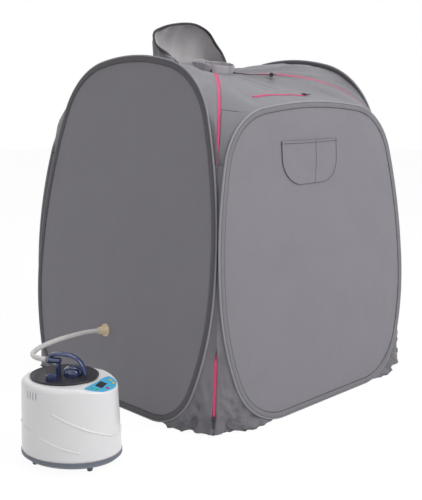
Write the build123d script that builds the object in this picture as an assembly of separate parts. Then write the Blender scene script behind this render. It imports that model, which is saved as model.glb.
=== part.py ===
from build123d import *
import math
import os

# Portable steam sauna: a pop-up cabin of four sprung hoop panels with a zipped
# front door, a roof with a neck collar and hood, and a steamer on the floor
# beside it, joined by a hose.  Millimetres.  The origin is on the floor at the
# middle of the cabin, -Y is the front, +X is the sitter's left, +Z is up.

# ---- driving dimensions: cabin ------------------------------------------------
SIDE_OFFSET = 470.0          # floor line of the left and right panels
SIDE_LEAN = 7.6              # degrees the side panels lean in
SIDE_HALF_WIDTH = 400.0
SIDE_WIDEST = 370.0          # height of the widest place, along the panel
SIDE_HEIGHT = 1005.0         # along the panel
SIDE_FLAT = 200.0            # half of the straight foot
SIDE_CROWN = 680.0           # radius over the top
SIDE_CROWN_TURN = 13.0
SIDE_SHOULDER_TURN = 70.0

FRONT_OFFSET = 445.0
FRONT_LEAN = 4.8
FRONT_HALF_WIDTH = 415.0
FRONT_WIDEST = 360.0
FRONT_HEIGHT = 873.0
FRONT_FLAT = 190.0
FRONT_CROWN = 1500.0
FRONT_CROWN_TURN = 8.0
FRONT_SHOULDER_TURN = 75.0

FOOT_TURN = 70.0             # degrees turned by the tight foot corner
SLEEVE_WIDTH = 28.0
SLEEVE_THICKNESS = 7.0
STRIP_WIDTH = 4.0            # flat spring steel
STRIP_THICKNESS = 1.6
STRIP_PLAY = 0.3
CLOTH = 3.0                  # quilted wall
SKIN = 2.0                   # single layer cloth
SEAM = 1.5                   # gap left where two cloths are sewn
TAPE_HALF = 8.0              # half width of a zip tape
ZIP_GAP = 9.0                # zip line to the edge of the cloth beside it
CORE = Vector(0, 0, 450)     # cloth is thickened towards the middle of the cabin

# ---- driving dimensions: neck, hood and trim -----------------------------------
NECK_CENTRE = (0.0, 30.0, 957.0)
NECK_TILT = 9.5
NECK_RADIUS = 60.0
COLLAR_HEIGHT = 30.0
COLLAR_WALL = 3.0
NECK_SEAM = 3.0              # roof cloth ends this far outside the collar
ZIP_BEARING = 225.0          # degrees round the neck at which the left zip starts
HOOD_CENTRE = Vector(-10, 118, 1030)   # middle of the mouth
HOOD_HALF_WIDTH = 152.0
HOOD_RISE = 76.0
HOOD_BACK = 96.0             # the base reaches this far behind the mouth
HOOD_FORWARD = 70.0          # how fast the mouth comes forward below its middle
HOOD_TURN = 42.0             # degrees the mouth runs on below its middle
HOOD_ROWS = 6
HOOD_BULGE = 10.0
HOOD_LIFT = 1.0              # base of the hood over the roof cloth
RIM_WIDTH = 9.0
RIM_THICKNESS = 5.0
FOLD_HALF = 236.0            # half length of the fold between door and roof flap
HAND_ZIP = (-165.0, 72.0, -292.0)   # left end, right end, y
POCKET = (-28.0, 760.0, 250.0, 122.0)  # u, height of the mouth, width, depth
CORD_RADIUS = 1.5

# ---- driving dimensions: steamer ----------------------------------------------
STEAMER_PLACE = (-766.0, -245.0)
STEAMER_TURN = -60.0
BODY_HALF = (127.0, 100.0)
BODY_TOP_HALF = (121.0, 94.0)
BODY_TOP = 210.0
SHOULDER = 13.0
BODY_WALL = 3.0
BASE_TOP = 30.0
FOOT_HEIGHT = 12.0
SLOPE_START = 56.0           # the panel end of the top slopes down from here
SLOPE = 15.0
LID_PLACE = (-16.0, 7.0)
OPENING_HALF = (79.0, 69.0)
LID_LAP = 5.0                # lid laps over the edge of the opening
LID_THICKNESS = 3.5
TANK_WALL = 2.0
TANK_CLEARANCE = 1.5
TANK_FLOOR = 62.0
PLAY = 0.5                   # between pieces that move or lie on each other
NOZZLE_RISE = 36.0           # middle of the nozzle over the lid's face
NOZZLE_REACH = -58.0
POST = (-30.0, 2.0)
NOZZLE_RADIUS = 7.5
HOSE_RADIUS = 6.5
HOSE_BORE = 4.5
PORT = (-30.0, 208.0)        # u and height of the steam port on the left panel
BELL_LENGTH = 26.0
BELL_RADII = (15.0, 9.0)

RIM_INSET = 4.0              # cloth is sewn this far in from a sleeve's outer edge
CORNER_IN = 15.0             # corner line in from both panel planes
CORNER_TURN = 104.5          # hoops part at this turn, up the corner
LOW_TURN = 87.0              # and at this one, near the floor
FOOT_IN = 42.0               # corner cloth stands in from the panels at the floor
FOOT_GAP = 14.0
BOW = 2.8                    # how late the roof cloth falls away towards a corner
ROOF_ROWS = (0.0, 0.4, 0.75, 1.0)
FLOOR_IN = 8.0
PORT_HOLE = 10.0
PORT_TAIL = 12.0
COLLAR_DIP = 4.0
COLLAR_GAP = 7.0
POCKET_CORNER = 74.0
TAPE_LIFT = 1.8              # hand zip tape lies this far over the flap
SLIDER = (10.0, 14.0, 4.0)
SLIDER_UP = 34.0             # slider above the bottom of the corner
PULL = (5.0, 24.0, 1.6)
PIN_BACK = 2.0
LOCK_BACK = 15.0             # cord lock's middle, back from the end of the drawcord
LOCK_LENGTH = 16.0
LOCK_RADIUS = 6.5
LOCK_BORE = 5.0
LOCK_TRAVEL = 2.5
LOCK_BUTTON = 4.0            # plunger head outside the barrel
FEET = (72.0, 56.0)
FOOT_RADIUS = 9.5
HEATER_RADIUS = 36.0
CAP_PLACE = (-30.0, -36.0)
CAP_RADIUS = 14.0
CAP_HEIGHT = 10.0
CAP_NOTCHES = 18
DOME_PLACE = (4.0, 14.0)
DOME_RADIUS = 24.0
DOME_HEIGHT = 20.0
HANDLE_END = (42.0, 2.0)
HANDLE_HALF = 6.0
CONTROL_PLACE = (88.0, -10.0)
CONTROL_TURN = 90.0
# Leaf outline from its low tip to its high tip: the edge by the shoulder, and the one
# by the lid.
CONTROL_OUTER = ((-52.0, 21.7), (-49.0, 10.4), (-45.0, 0.0), (-38.0, -10.4), (-31.0, -17.6),
                 (-19.0, -23.8), (-4.0, -28.5), (10.0, -30.5), (26.0, -28.5), (38.0, -23.8),
                 (48.0, -15.5), (54.0, -5.2), (55.0, 4.1))
CONTROL_INNER = ((55.0, 4.1), (41.0, 9.3), (18.0, 12.4), (-4.0, 14.5), (-28.0, 18.6),
                 (-52.0, 21.7))
PLATE = 2.6
DISPLAY = (34.0, 18.0)
DISPLAY_PLACE = (-4.0, -0.5)
BUTTON_RADIUS = 3.8
BUTTON_TRAVEL = 0.6
BUTTONS = (("power", -9.0, -19.7), ("heat", 37.0, -8.3), ("timer", 27.0, -19.7),
           ("less", -40.0, 8.3), ("more", -34.5, -4.1))
INLET = (40.0, 62.0)
INLET_SIZE = (28.0, 22.0, 20.0)

# ---- sizes that follow from the ones above ------------------------------------------
NECK_HOLE = NECK_RADIUS + COLLAR_WALL + NECK_SEAM
LID_FACE = BODY_TOP + PLAY + LID_THICKNESS
NOZZLE_HEIGHT = LID_FACE + NOZZLE_RISE

# Hose route from the steamer's nozzle to the bell on the cabin.
HOSE_POINTS = [
    (-795.2, -194.5, 250.0),
    (-806.2, -175.4, 250.0),
    (-803.3, -141.4, 250.0),
    (-779.2, -111.7, 249.0),
    (-722.7, -69.3, 243.0),
    (-640.6, -24.0, 233.0),
    (-572.8, 7.1, 223.0),
    (-508.1, 30.0, 215.4),
    (-470.4, 30.0, 210.4),
]
# Drawcord route from the collar over the roof flap.
CORD_POINTS = [
    (33.5, -24.6, 951.5),
    (43.0, -52.0, 947.0),
    (62.0, -78.0, 944.0),
    (86.0, -108.0, 944.5),
    (111.0, -135.6, 943.8),
]

os.makedirs("parts", exist_ok=True)


def save(name, shape):
    shape.label = name
    export_step(shape, f"parts/{name}.step")


# ---- hoop outlines ---------------------------------------------------------------
def two_radii(start, start_turn, tight_turn, half_width, rise):
    """Radii of a tight arc and the long arc after it, which ends upright at half_width, rise."""
    t0, t1 = math.radians(start_turn), math.radians(tight_turn)
    a11, a12 = math.sin(t1) - math.sin(t0), 1 - math.sin(t1)
    a21, a22 = math.cos(t0) - math.cos(t1), math.cos(t1)
    b1, b2 = half_width - start[0], rise - start[1]
    det = a11 * a22 - a12 * a21
    return (b1 * a22 - a12 * b2) / det, (a11 * b2 - a21 * b1) / det


class Hoop:
    """Outline of a hoop panel: a flat foot, then five tangent arcs up each side."""

    def __init__(self, half_width, widest, height, flat, crown, crown_turn, shoulder_turn):
        c = math.radians(crown_turn)
        crown_end = (crown * math.sin(c), crown * (1 - math.cos(c)))
        foot, low = two_radii((flat, 0), 0, FOOT_TURN, half_width, widest)
        shoulder, high = two_radii(crown_end, crown_turn, shoulder_turn, half_width,
                                   height - widest)
        self.height = height
        self.flat = flat
        self.arcs = [
            (0.0, FOOT_TURN, (flat, foot), foot),
            (FOOT_TURN, 90.0, (half_width - low, widest), low),
            (90.0, 180.0 - shoulder_turn, (half_width - high, widest), high),
            (180.0 - shoulder_turn, 180.0 - crown_turn,
             ((crown - shoulder) * math.sin(c), height - crown + (crown - shoulder) * math.cos(c)),
             shoulder),
            (180.0 - crown_turn, 180.0, (0.0, height - crown), crown),
        ]

    def point(self, turn, inset=0.0):
        """Place on the right half where the outline has turned by so many degrees."""
        for _, last, centre, radius in self.arcs:
            if turn <= last + 1e-9:
                break
        a = math.radians(turn)
        return (centre[0] + (radius - inset) * math.sin(a),
                centre[1] - (radius - inset) * math.cos(a))

    def face(self, inset):
        right = [Line((0, inset), (self.flat, inset))]
        for first, last, centre, radius in self.arcs:
            stops = []
            for turn in (first, (first + last) / 2, last):
                a = math.radians(turn)
                stops.append((centre[0] + (radius - inset) * math.sin(a),
                              centre[1] - (radius - inset) * math.cos(a)))
            right.append(ThreePointArc(*stops))
        left = [edge.mirror(Plane.YZ) for edge in right]
        return make_face(right + left)

    def ring(self, outer, inner):
        return self.face(outer) - self.face(inner)


SIDE = Hoop(SIDE_HALF_WIDTH, SIDE_WIDEST, SIDE_HEIGHT, SIDE_FLAT, SIDE_CROWN,
            SIDE_CROWN_TURN, SIDE_SHOULDER_TURN)
FRONT = Hoop(FRONT_HALF_WIDTH, FRONT_WIDEST, FRONT_HEIGHT, FRONT_FLAT, FRONT_CROWN,
             FRONT_CROWN_TURN, FRONT_SHOULDER_TURN)


def panel_plane(bearing, offset, lean):
    """Plane of a leaning panel: x along its foot, y up the panel, z outwards."""
    a, s = math.radians(bearing), math.radians(lean)
    out = Vector(math.cos(a), math.sin(a), 0)
    along = Vector(-math.sin(a), math.cos(a), 0)
    rest = SLEEVE_THICKNESS / 2 * math.sin(s)
    return Plane(origin=out * offset + Vector(0, 0, rest), x_dir=along,
                 z_dir=out * math.cos(s) + Vector(0, 0, math.sin(s)))


PANELS = {
    "left": (SIDE, panel_plane(180, SIDE_OFFSET, SIDE_LEAN)),
    "right": (SIDE, panel_plane(0, SIDE_OFFSET, SIDE_LEAN)),
    "front": (FRONT, panel_plane(270, FRONT_OFFSET, FRONT_LEAN)),
    "back": (FRONT, panel_plane(90, FRONT_OFFSET, FRONT_LEAN)),
}


def slab(plane, sketch, low, high):
    """Sketch on a plane, thickened from low to high along its normal."""
    return extrude(plane.offset(low) * sketch, amount=high - low)


def hoop_panel(name):
    hoop, plane = PANELS[name]
    middle = SLEEVE_WIDTH / 2
    half = SLEEVE_THICKNESS / 2
    steel = hoop.ring(middle - STRIP_WIDTH / 2, middle + STRIP_WIDTH / 2)
    room = hoop.ring(middle - STRIP_WIDTH / 2 - STRIP_PLAY, middle + STRIP_WIDTH / 2 + STRIP_PLAY)
    thick = STRIP_THICKNESS / 2
    save(f"{name}_hoop", slab(plane, steel, -thick, thick))
    sleeve = slab(plane, hoop.ring(0, SLEEVE_WIDTH), -half, half)
    sleeve -= slab(plane, room, -thick - STRIP_PLAY, thick + STRIP_PLAY)
    save(f"{name}_hoop_sleeve", sleeve)
    wall = slab(plane, hoop.face(SLEEVE_WIDTH + STRIP_PLAY), -CLOTH / 2, CLOTH / 2)
    if name == "left":
        wall -= slab(plane, Pos(*PORT) * Circle(PORT_HOLE), -CLOTH, CLOTH)
    save(f"{name}_panel", wall)


# ---- cloth skins -------------------------------------------------------------------
def sheet(rows, thickness, core=CORE):
    """Closed skin of flat facets through rows of points, thickened towards core."""
    outer = [[Vector(*p) for p in row] for row in rows]
    inner = [[p + (core - p).normalized() * thickness for p in row] for row in outer]
    last_row, last_column = len(rows) - 1, len(rows[0]) - 1
    faces = []

    def patch(a, b, c, d):
        faces.append(Face(Wire.make_polygon([a, b, c], close=True)))
        faces.append(Face(Wire.make_polygon([a, c, d], close=True)))

    for grid in (outer, inner):
        for i in range(last_row):
            for j in range(last_column):
                patch(grid[i][j], grid[i][j + 1], grid[i + 1][j + 1], grid[i + 1][j])
    for j in range(last_column):
        for i in (0, last_row):
            patch(outer[i][j], outer[i][j + 1], inner[i][j + 1], inner[i][j])
    for i in range(last_row):
        for j in (0, last_column):
            patch(outer[i][j], outer[i + 1][j], inner[i + 1][j], inner[i][j])
    return Solid(Shell(faces))


def mirrored(rows, x=False, y=False):
    return [[Vector(-p.X if x else p.X, -p.Y if y else p.Y, p.Z) for p in row] for row in rows]


def fused(*solids):
    body = solids[0]
    for solid in solids[1:]:
        body += solid
    return body


# ---- lines the cloth is sewn along --------------------------------------------------
NECK = Plane(origin=NECK_CENTRE, x_dir=(1, 0, 0),
             z_dir=(0, -math.sin(math.radians(NECK_TILT)), math.cos(math.radians(NECK_TILT))))
ACROSS = Vector(1, -1, 0).normalized()   # over the front left zip, from side to door


def neck_point(bearing, radius=NECK_HOLE, height=0.0):
    a = math.radians(bearing)
    return NECK.from_local_coords(Vector(radius * math.cos(a), radius * math.sin(a), height))


def side_rim(turn):
    """Where cloth joins the front half of the left panel, just inside its sleeve."""
    u, h = SIDE.point(turn, RIM_INSET)
    return PANELS["left"][1].from_local_coords(Vector(u, h, -SLEEVE_THICKNESS / 2 - SEAM))


def front_rim(turn):
    """Where cloth joins the left half of the front panel, just inside its sleeve."""
    u, h = FRONT.point(turn, RIM_INSET)
    return PANELS["front"][1].from_local_coords(Vector(-u, h, -SLEEVE_THICKNESS / 2 - SEAM))


def corner(height):
    """Front left corner line, a little inside both panels."""
    side = SIDE_OFFSET - height * math.tan(math.radians(SIDE_LEAN)) - CORNER_IN
    front = FRONT_OFFSET - height * math.tan(math.radians(FRONT_LEAN)) - CORNER_IN
    return Vector(-side, -front, height)


def bowed(start, end, share):
    """Cloth pulled from start over to a lower end: flat at first, then falling away."""
    place = start + (end - start) * share
    if end.Z > start.Z:
        return place
    fall = math.sqrt(max(0.0, 1 - share ** BOW))
    return Vector(place.X, place.Y, end.Z + (start.Z - end.Z) * fall)


CORNER_TOP = corner(SIDE.point(CORNER_TURN)[1] * math.cos(math.radians(SIDE_LEAN)))
CORNER_LOW = corner(SIDE.point(LOW_TURN)[1] * math.cos(math.radians(SIDE_LEAN)))
CORNER_FOOT = Vector(-SIDE_OFFSET + FOOT_IN, -FRONT_OFFSET + FOOT_IN, FOOT_GAP)


def zip_point(share):
    """Front left zip, from the neck at 0 to the top of the corner at 1."""
    return bowed(neck_point(ZIP_BEARING), CORNER_TOP, share)


def low_point(share):
    """Front left zip, from the bottom of the straight corner at 0 to the floor at 1."""
    return CORNER_LOW + (CORNER_FOOT - CORNER_LOW) * share


# ---- roof, gussets, floor -----------------------------------------------------------
def roof_columns():
    """Roof behind the zips: a web beside each zip and the cloth round the neck."""
    columns = []
    for share, turn in ((1.0, CORNER_TURN), (0.95, 110), (0.88, 118), (0.77, 128),
                        (0.59, 139), (0.39, 150), (0.2, 159)):
        inner = zip_point(share) - ACROSS * ZIP_GAP
        outer = side_rim(turn)
        columns.append([inner + (outer - inner) * f for f in ROOF_ROWS])
    for bearing, turn in ((217, 167), (200, 174), (180, 180)):
        inner = neck_point(bearing)
        columns.append([bowed(inner, side_rim(turn), f) for f in ROOF_ROWS])
    for bearing, turn in ((168, 170), (157, 155), (148, 138), (141, 120), (137, CORNER_TURN)):
        inner = neck_point(bearing)
        outer = side_rim(turn)
        columns.append([bowed(inner, Vector(outer.X, -outer.Y, outer.Z), f) for f in ROOF_ROWS])
    for bearing, turn in ((133, CORNER_TURN), (127, 135), (120, 155), (112, 168), (101, 175)):
        inner = neck_point(bearing)
        outer = front_rim(turn)
        columns.append([bowed(inner, Vector(outer.X, -outer.Y, outer.Z), f) for f in ROOF_ROWS])
    other = mirrored(columns, x=True)
    other.reverse()
    columns.append([bowed(neck_point(90), Vector(0, -front_rim(180).Y, front_rim(180).Z), f)
                    for f in ROOF_ROWS])
    return columns + other


FLAP_COLUMNS = ((0.86, 159), (0.77, 163), (0.59, 167), (0.39, 170), (0.2, 173))
FLAP_NECK = ((233, 175.5), (251, 178))


def flap_columns(lift=0.0):
    """Roof flap between the zips, from the neck to the fold over the front hoop."""
    columns = []
    for share, turn in FLAP_COLUMNS:
        inner = zip_point(share) + ACROSS * ZIP_GAP
        columns.append([inner, front_rim(turn)])
    for bearing, turn in FLAP_NECK:
        columns.append([neck_point(bearing), front_rim(turn)])
    other = mirrored(columns, x=True)
    other.reverse()
    middle = [neck_point(270), front_rim(180)]
    up = Vector(0, 0, lift)
    return [[p + up for p in column] for column in columns + [middle] + other]


def height_on(columns, x, y):
    """Height of a cloth over a place, read off its facets."""
    for left, right in zip(columns, columns[1:]):
        for a, b, d, c in zip(left, left[1:], right, right[1:]):
            for p, q, r in ((a, b, c), (a, c, d)):
                det = (q.Y - r.Y) * (p.X - r.X) + (r.X - q.X) * (p.Y - r.Y)
                if abs(det) < 1e-9:
                    continue
                s = ((q.Y - r.Y) * (x - r.X) + (r.X - q.X) * (y - r.Y)) / det
                t = ((r.Y - p.Y) * (x - r.X) + (p.X - r.X) * (y - r.Y)) / det
                if min(s, t, 1 - s - t) >= -1e-6:
                    return s * p.Z + t * q.Z + (1 - s - t) * r.Z
    raise ValueError("place is off the cloth")


def door_shoulders():
    """Cloth on the door between each zip and the shoulder of the front hoop."""
    columns = []
    for share, turn in ((0.88, 156), (0.95, 140), (1.0, CORNER_TURN)):
        columns.append([zip_point(share) + ACROSS * ZIP_GAP, front_rim(turn)])
    save("door_shoulder_left", sheet(columns, SKIN))
    save("door_shoulder_right", sheet(mirrored(columns, x=True), SKIN))


LOW_STATIONS = ((0.0, LOW_TURN), (0.22, 81), (0.42, 76), (0.63, 70), (0.8, 50), (0.93, 30),
                (1.0, 12))


def gussets():
    """Cloth in the foot of each corner, where the hoops round away from each other."""
    side, door, rear = [], [], []
    for share in (0.0, 0.5):
        line = CORNER_TOP + (CORNER_LOW - CORNER_TOP) * share - Vector(0, 0, SEAM * (1 - share))
        rear.append([line - ACROSS * TAPE_HALF, line, line + ACROSS * TAPE_HALF])
    for share, turn in LOW_STATIONS:
        line = low_point(share)
        side_edge, front_edge = side_rim(turn), front_rim(turn)
        if share == 0.0:
            side_edge = line - ACROSS * (ZIP_GAP + SEAM)
            front_edge = line + ACROSS * (ZIP_GAP + SEAM)
            rear.append([line - ACROSS * TAPE_HALF, line, line + ACROSS * TAPE_HALF])
        else:
            rear.append([side_edge, line, front_edge])
        side.append([line - ACROSS * ZIP_GAP, side_edge])
        door.append([line + ACROSS * ZIP_GAP, front_edge])
    save("front_left_gusset", sheet(side, SKIN))
    save("front_right_gusset", sheet(mirrored(side, x=True), SKIN))
    save("door_gusset_left", sheet(door, SKIN))
    save("door_gusset_right", sheet(mirrored(door, x=True), SKIN))
    save("rear_left_gusset", sheet(mirrored(rear, y=True), SKIN))
    save("rear_right_gusset", sheet(mirrored(rear, x=True, y=True), SKIN))


def floor_sheet():
    """Ground sheet: straight along the feet of the panels, cut across to each corner."""
    side, front = SIDE_OFFSET - FLOOR_IN, FRONT_OFFSET - FLOOR_IN
    corner_x, corner_y = SIDE_OFFSET - FOOT_IN, FRONT_OFFSET - FOOT_IN
    quarter = [(side, SIDE_FLAT + FLOOR_IN), (corner_x, corner_y), (FRONT_FLAT + FLOOR_IN, front)]
    points = []
    for sx, sy in ((1, 1), (-1, 1), (-1, -1), (1, -1)):
        part = [(sx * x, sy * y) for x, y in quarter]
        if sx * sy < 0:
            part.reverse()
        points += part
    save("floor_sheet", extrude(make_face(Polyline(*points, close=True)), amount=SKIN))


# ---- zips -----------------------------------------------------------------------------
def zip_tapes():
    columns = []
    for share in (0.03, 0.2, 0.39, 0.59, 0.77, 0.88, 0.95, 1.0):
        line = zip_point(share)
        columns.append([line - ACROSS * TAPE_HALF, line + ACROSS * TAPE_HALF])
    for line in (CORNER_LOW, CORNER_FOOT):
        columns.append([line - ACROSS * TAPE_HALF, line + ACROSS * TAPE_HALF])
    save("left_zip_tape", sheet(columns, SKIN))
    save("right_zip_tape", sheet(mirrored(columns, x=True), SKIN))
    window = Pos((HAND_ZIP[0] + HAND_ZIP[1]) / 2, HAND_ZIP[2], NECK_CENTRE[2]) * Box(
        HAND_ZIP[1] - HAND_ZIP[0], 2 * TAPE_HALF, NECK_CENTRE[2])
    save("hand_zip_tape", sheet(flap_columns(TAPE_LIFT), SKIN / 2) & window)


def slider_and_pull(name, plane):
    """Zip slider on a tape whose face is the plane; the slider runs along its y."""
    body = plane * Pos(0, 0, PLAY + SLIDER[2] / 2) * Box(*SLIDER)
    slot = plane * Pos(0, -SLIDER[1] / 2, PLAY + SLIDER[2] / 2) * Box(PULL[0] + 2 * PLAY,
                                                                 SLIDER[1], SLIDER[2] + 2)
    save(f"{name}_slider", body - slot)
    hinge = plane * Pos(0, -PIN_BACK, PLAY + SLIDER[2] / 2)
    tab = hinge * Pos(0, -PULL[1] / 2, 0) * Box(*PULL)
    save(f"{name}_pull", tab)
    place = plane.from_local_coords(Vector(0, -PIN_BACK, PLAY + SLIDER[2] / 2))
    print(f"{name} pull hinge {tuple(round(v, 2) for v in place)}")


def sliders():
    run = (CORNER_LOW - CORNER_FOOT).normalized()
    out = ACROSS.cross(run)
    start = CORNER_FOOT + run * SLIDER_UP
    left = Plane(origin=start, x_dir=ACROSS, z_dir=out)
    print("zip run", tuple(round(v, 4) for v in run), "out", tuple(round(v, 4) for v in out))
    slider_and_pull("left_zip", left)
    across = Vector(-ACROSS.X, ACROSS.Y, 0)
    right = Plane(origin=(-start.X, start.Y, start.Z), x_dir=-across,
                  z_dir=Vector(-out.X, out.Y, out.Z))
    slider_and_pull("right_zip", right)
    x, y = HAND_ZIP[1] - SLIDER[1], HAND_ZIP[2]
    tape = flap_columns(TAPE_LIFT)
    here = Vector(x, y, height_on(tape, x, y))
    along = (here - Vector(x - 30, y, height_on(tape, x - 30, y))).normalized()
    down = (Vector(x, y - 20, height_on(tape, x, y - 20)) - here).normalized()
    normal = down.cross(along).normalized()
    if normal.Z < 0:
        normal = -normal
    print("hand zip along", tuple(round(v, 4) for v in along), "normal",
          tuple(round(v, 4) for v in normal))
    slider_and_pull("hand_zip", Plane(origin=here, x_dir=normal.cross(along), z_dir=normal))


# ---- neck collar, hood, drawcord -----------------------------------------------------
def collar(name, first, last):
    """Stretch of the collar wall between two bearings."""
    middle = math.radians((first + last) / 2)
    radius = NECK_RADIUS + COLLAR_WALL / 2
    stops = []
    for a in (math.radians(first), middle, math.radians(last)):
        stops.append((radius * math.cos(a), radius * math.sin(a)))
    arc = ThreePointArc(*stops)
    band = trace(arc, line_width=COLLAR_WALL)
    save(name, slab(NECK, band, -COLLAR_DIP, COLLAR_HEIGHT))


def hood():
    """Bonnet behind the neck: a horseshoe mouth, swept back and down on to the roof."""
    roof = roof_columns()
    rows = []
    steps = range(13)
    for row_number in range(HOOD_ROWS):
        f = row_number / (HOOD_ROWS - 1)
        swing = math.radians(90 * f)
        back = HOOD_RISE + (HOOD_BACK - HOOD_RISE) * f + HOOD_BULGE * math.sin(2 * swing)
        row = []
        for step in steps:
            p = math.radians(-HOOD_TURN + (180 + 2 * HOOD_TURN) * step / 12)
            x = HOOD_CENTRE.X + HOOD_HALF_WIDTH * math.cos(p)
            rise = max(0.0, math.sin(p))
            dip = max(0.0, -math.sin(p))
            y = HOOD_CENTRE.Y + rise * back * math.sin(swing) - dip * HOOD_FORWARD
            top = rise * HOOD_RISE - dip * HOOD_RISE
            base_y = HOOD_CENTRE.Y + rise * HOOD_BACK - dip * HOOD_FORWARD
            ground = height_on(roof, x, base_y) + HOOD_LIFT + SKIN
            middle = HOOD_CENTRE.Z + (ground - HOOD_CENTRE.Z) * f
            z = middle + rise * back * math.cos(swing) + (1 - f) * min(top, 0.0)
            row.append(Vector(x, y, z))
        rows.append(row)
    core = Vector(HOOD_CENTRE.X, HOOD_CENTRE.Y, HOOD_CENTRE.Z - HOOD_RISE / 3)
    save("hood", sheet(rows, SKIN, core))
    edge = rows[0]
    front = [p - Vector(0, SEAM / 3, 0) for p in edge]
    lip = [p - Vector(0, RIM_WIDTH, 0) for p in edge]
    save("hood_rim", sheet([front, lip], RIM_THICKNESS, core))
    print("hood hinge", round(rows[-1][6].Y, 1), round(rows[-1][6].Z, 1))


def corner_radii(points):
    """Largest smooth radius at each corner of a cord's route."""
    radii = []
    for a, b, c in zip(points, points[1:], points[2:]):
        first, second = Vector(*b) - Vector(*a), Vector(*c) - Vector(*b)
        turn = math.radians(first.get_angle(second))
        radii.append(0.45 * min(first.length, second.length) / math.tan(turn / 2))
    return radii


def cord(name, points, radius):
    radii = corner_radii(points)
    path = FilletPolyline(*points, radius=radii)
    tube = sweep(Plane(origin=path @ 0, z_dir=path % 0) * Circle(radius), path=path)
    save(name, tube)
    section = math.pi * radius ** 2
    print(f"{name} length {path.length:.1f} volume ratio {tube.volume / (section * path.length):.4f}",
          "radii", [round(r, 1) for r in radii])


def cord_lock():
    """Sprung toggle lying across the end of the drawcord, which runs through both pieces."""
    a, b = Vector(*CORD_POINTS[-2]), Vector(*CORD_POINTS[-1])
    along = (b - a).normalized()
    across = Vector(-along.Y, along.X, 0).normalized() * -1
    middle = b - along * LOCK_BACK
    seat = Plane(origin=middle, x_dir=along, z_dir=across)
    half = LOCK_LENGTH / 2
    hole = CORD_RADIUS + STRIP_PLAY
    way = seat * Rot(0, 90, 0) * Cylinder(hole, 4 * LOCK_RADIUS)
    barrel = seat * Cylinder(LOCK_RADIUS, LOCK_LENGTH)
    bore = seat * Pos(0, 0, 3) * Cylinder(LOCK_BORE, LOCK_LENGTH)
    save("cord_lock_barrel", barrel - bore - way)
    low = 3 - half + STRIP_PLAY + LOCK_TRAVEL
    stem = extrude(seat.offset(low) * Circle(LOCK_BORE - STRIP_PLAY), amount=half - low)
    head = extrude(seat.offset(half) * Circle(LOCK_BORE - STRIP_PLAY), amount=LOCK_BUTTON)
    slot = seat * Pos(0, 0, LOCK_TRAVEL / 2) * Box(4 * LOCK_RADIUS, 2 * hole,
                                                   2 * hole + LOCK_TRAVEL)
    save("cord_lock_plunger", stem + head - slot)
    print("cord lock along", tuple(round(v, 4) for v in along), "press",
          tuple(round(-v, 4) for v in across), "at", tuple(round(v, 1) for v in middle))


# ---- steamer -----------------------------------------------------------------------------
STEAMER = Location((*STEAMER_PLACE, 0), (0, 0, STEAMER_TURN))


def tub(stations):
    """Ruled oval body through (half length, half width, height) stations."""
    return loft([Pos(0, 0, z) * Ellipse(a, b) for a, b, z in stations], ruled=True)


def slope_cut(drop):
    """Everything above the sloping panel end of the top, drop below the outer face."""
    place = Pos(SLOPE_START, 0, BODY_TOP - drop) * Rot(0, SLOPE, 0)
    return place * Pos(200, 0, 50) * Box(400, 400, 100)


def steamer_body():
    outer = tub(((*BODY_HALF, BASE_TOP), (*BODY_TOP_HALF, BODY_TOP - SHOULDER),
                 (BODY_TOP_HALF[0] - SHOULDER, BODY_TOP_HALF[1] - SHOULDER, BODY_TOP)))
    w = BODY_WALL
    inner = tub(((BODY_HALF[0] - w, BODY_HALF[1] - w, BASE_TOP - 1),
                 (BODY_TOP_HALF[0] - w, BODY_TOP_HALF[1] - w, BODY_TOP - SHOULDER),
                 (BODY_TOP_HALF[0] - SHOULDER - w, BODY_TOP_HALF[1] - SHOULDER - w,
                  BODY_TOP - w)))
    opening = extrude(Pos(*LID_PLACE, BODY_TOP - 4 * w) * Ellipse(*OPENING_HALF), amount=8 * w)
    inlet_hole = Pos(INLET[0], BODY_HALF[1] - 2 * w, INLET[1]) * Box(
        INLET_SIZE[0] + 2 * STRIP_PLAY, 12 * w, INLET_SIZE[1] + 2 * STRIP_PLAY)
    shell = outer - slope_cut(0) - (inner - slope_cut(w)) - opening - inlet_hole
    save("steamer_shell", STEAMER * shell)
    tray = tub(((BODY_HALF[0] - 9, BODY_HALF[1] - 9, FOOT_HEIGHT),
                (BODY_HALF[0] + 1, BODY_HALF[1] + 1, FOOT_HEIGHT + 9),
                (BODY_HALF[0] + 1, BODY_HALF[1] + 1, BASE_TOP - STRIP_PLAY)))
    hollow = extrude(Pos(0, 0, FOOT_HEIGHT + w) * Ellipse(BODY_HALF[0] - 16, BODY_HALF[1] - 16),
                     amount=BASE_TOP)
    save("steamer_base", STEAMER * (tray - hollow))
    feet = []
    for x in (-FEET[0], FEET[0]):
        for y in (-FEET[1], FEET[1]):
            foot = FOOT_HEIGHT - STRIP_PLAY
            feet.append(Pos(x, y, foot / 2) * Cone(FOOT_RADIUS - 3.5, FOOT_RADIUS, foot))
    save("steamer_feet", STEAMER * Compound(children=feet))


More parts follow.
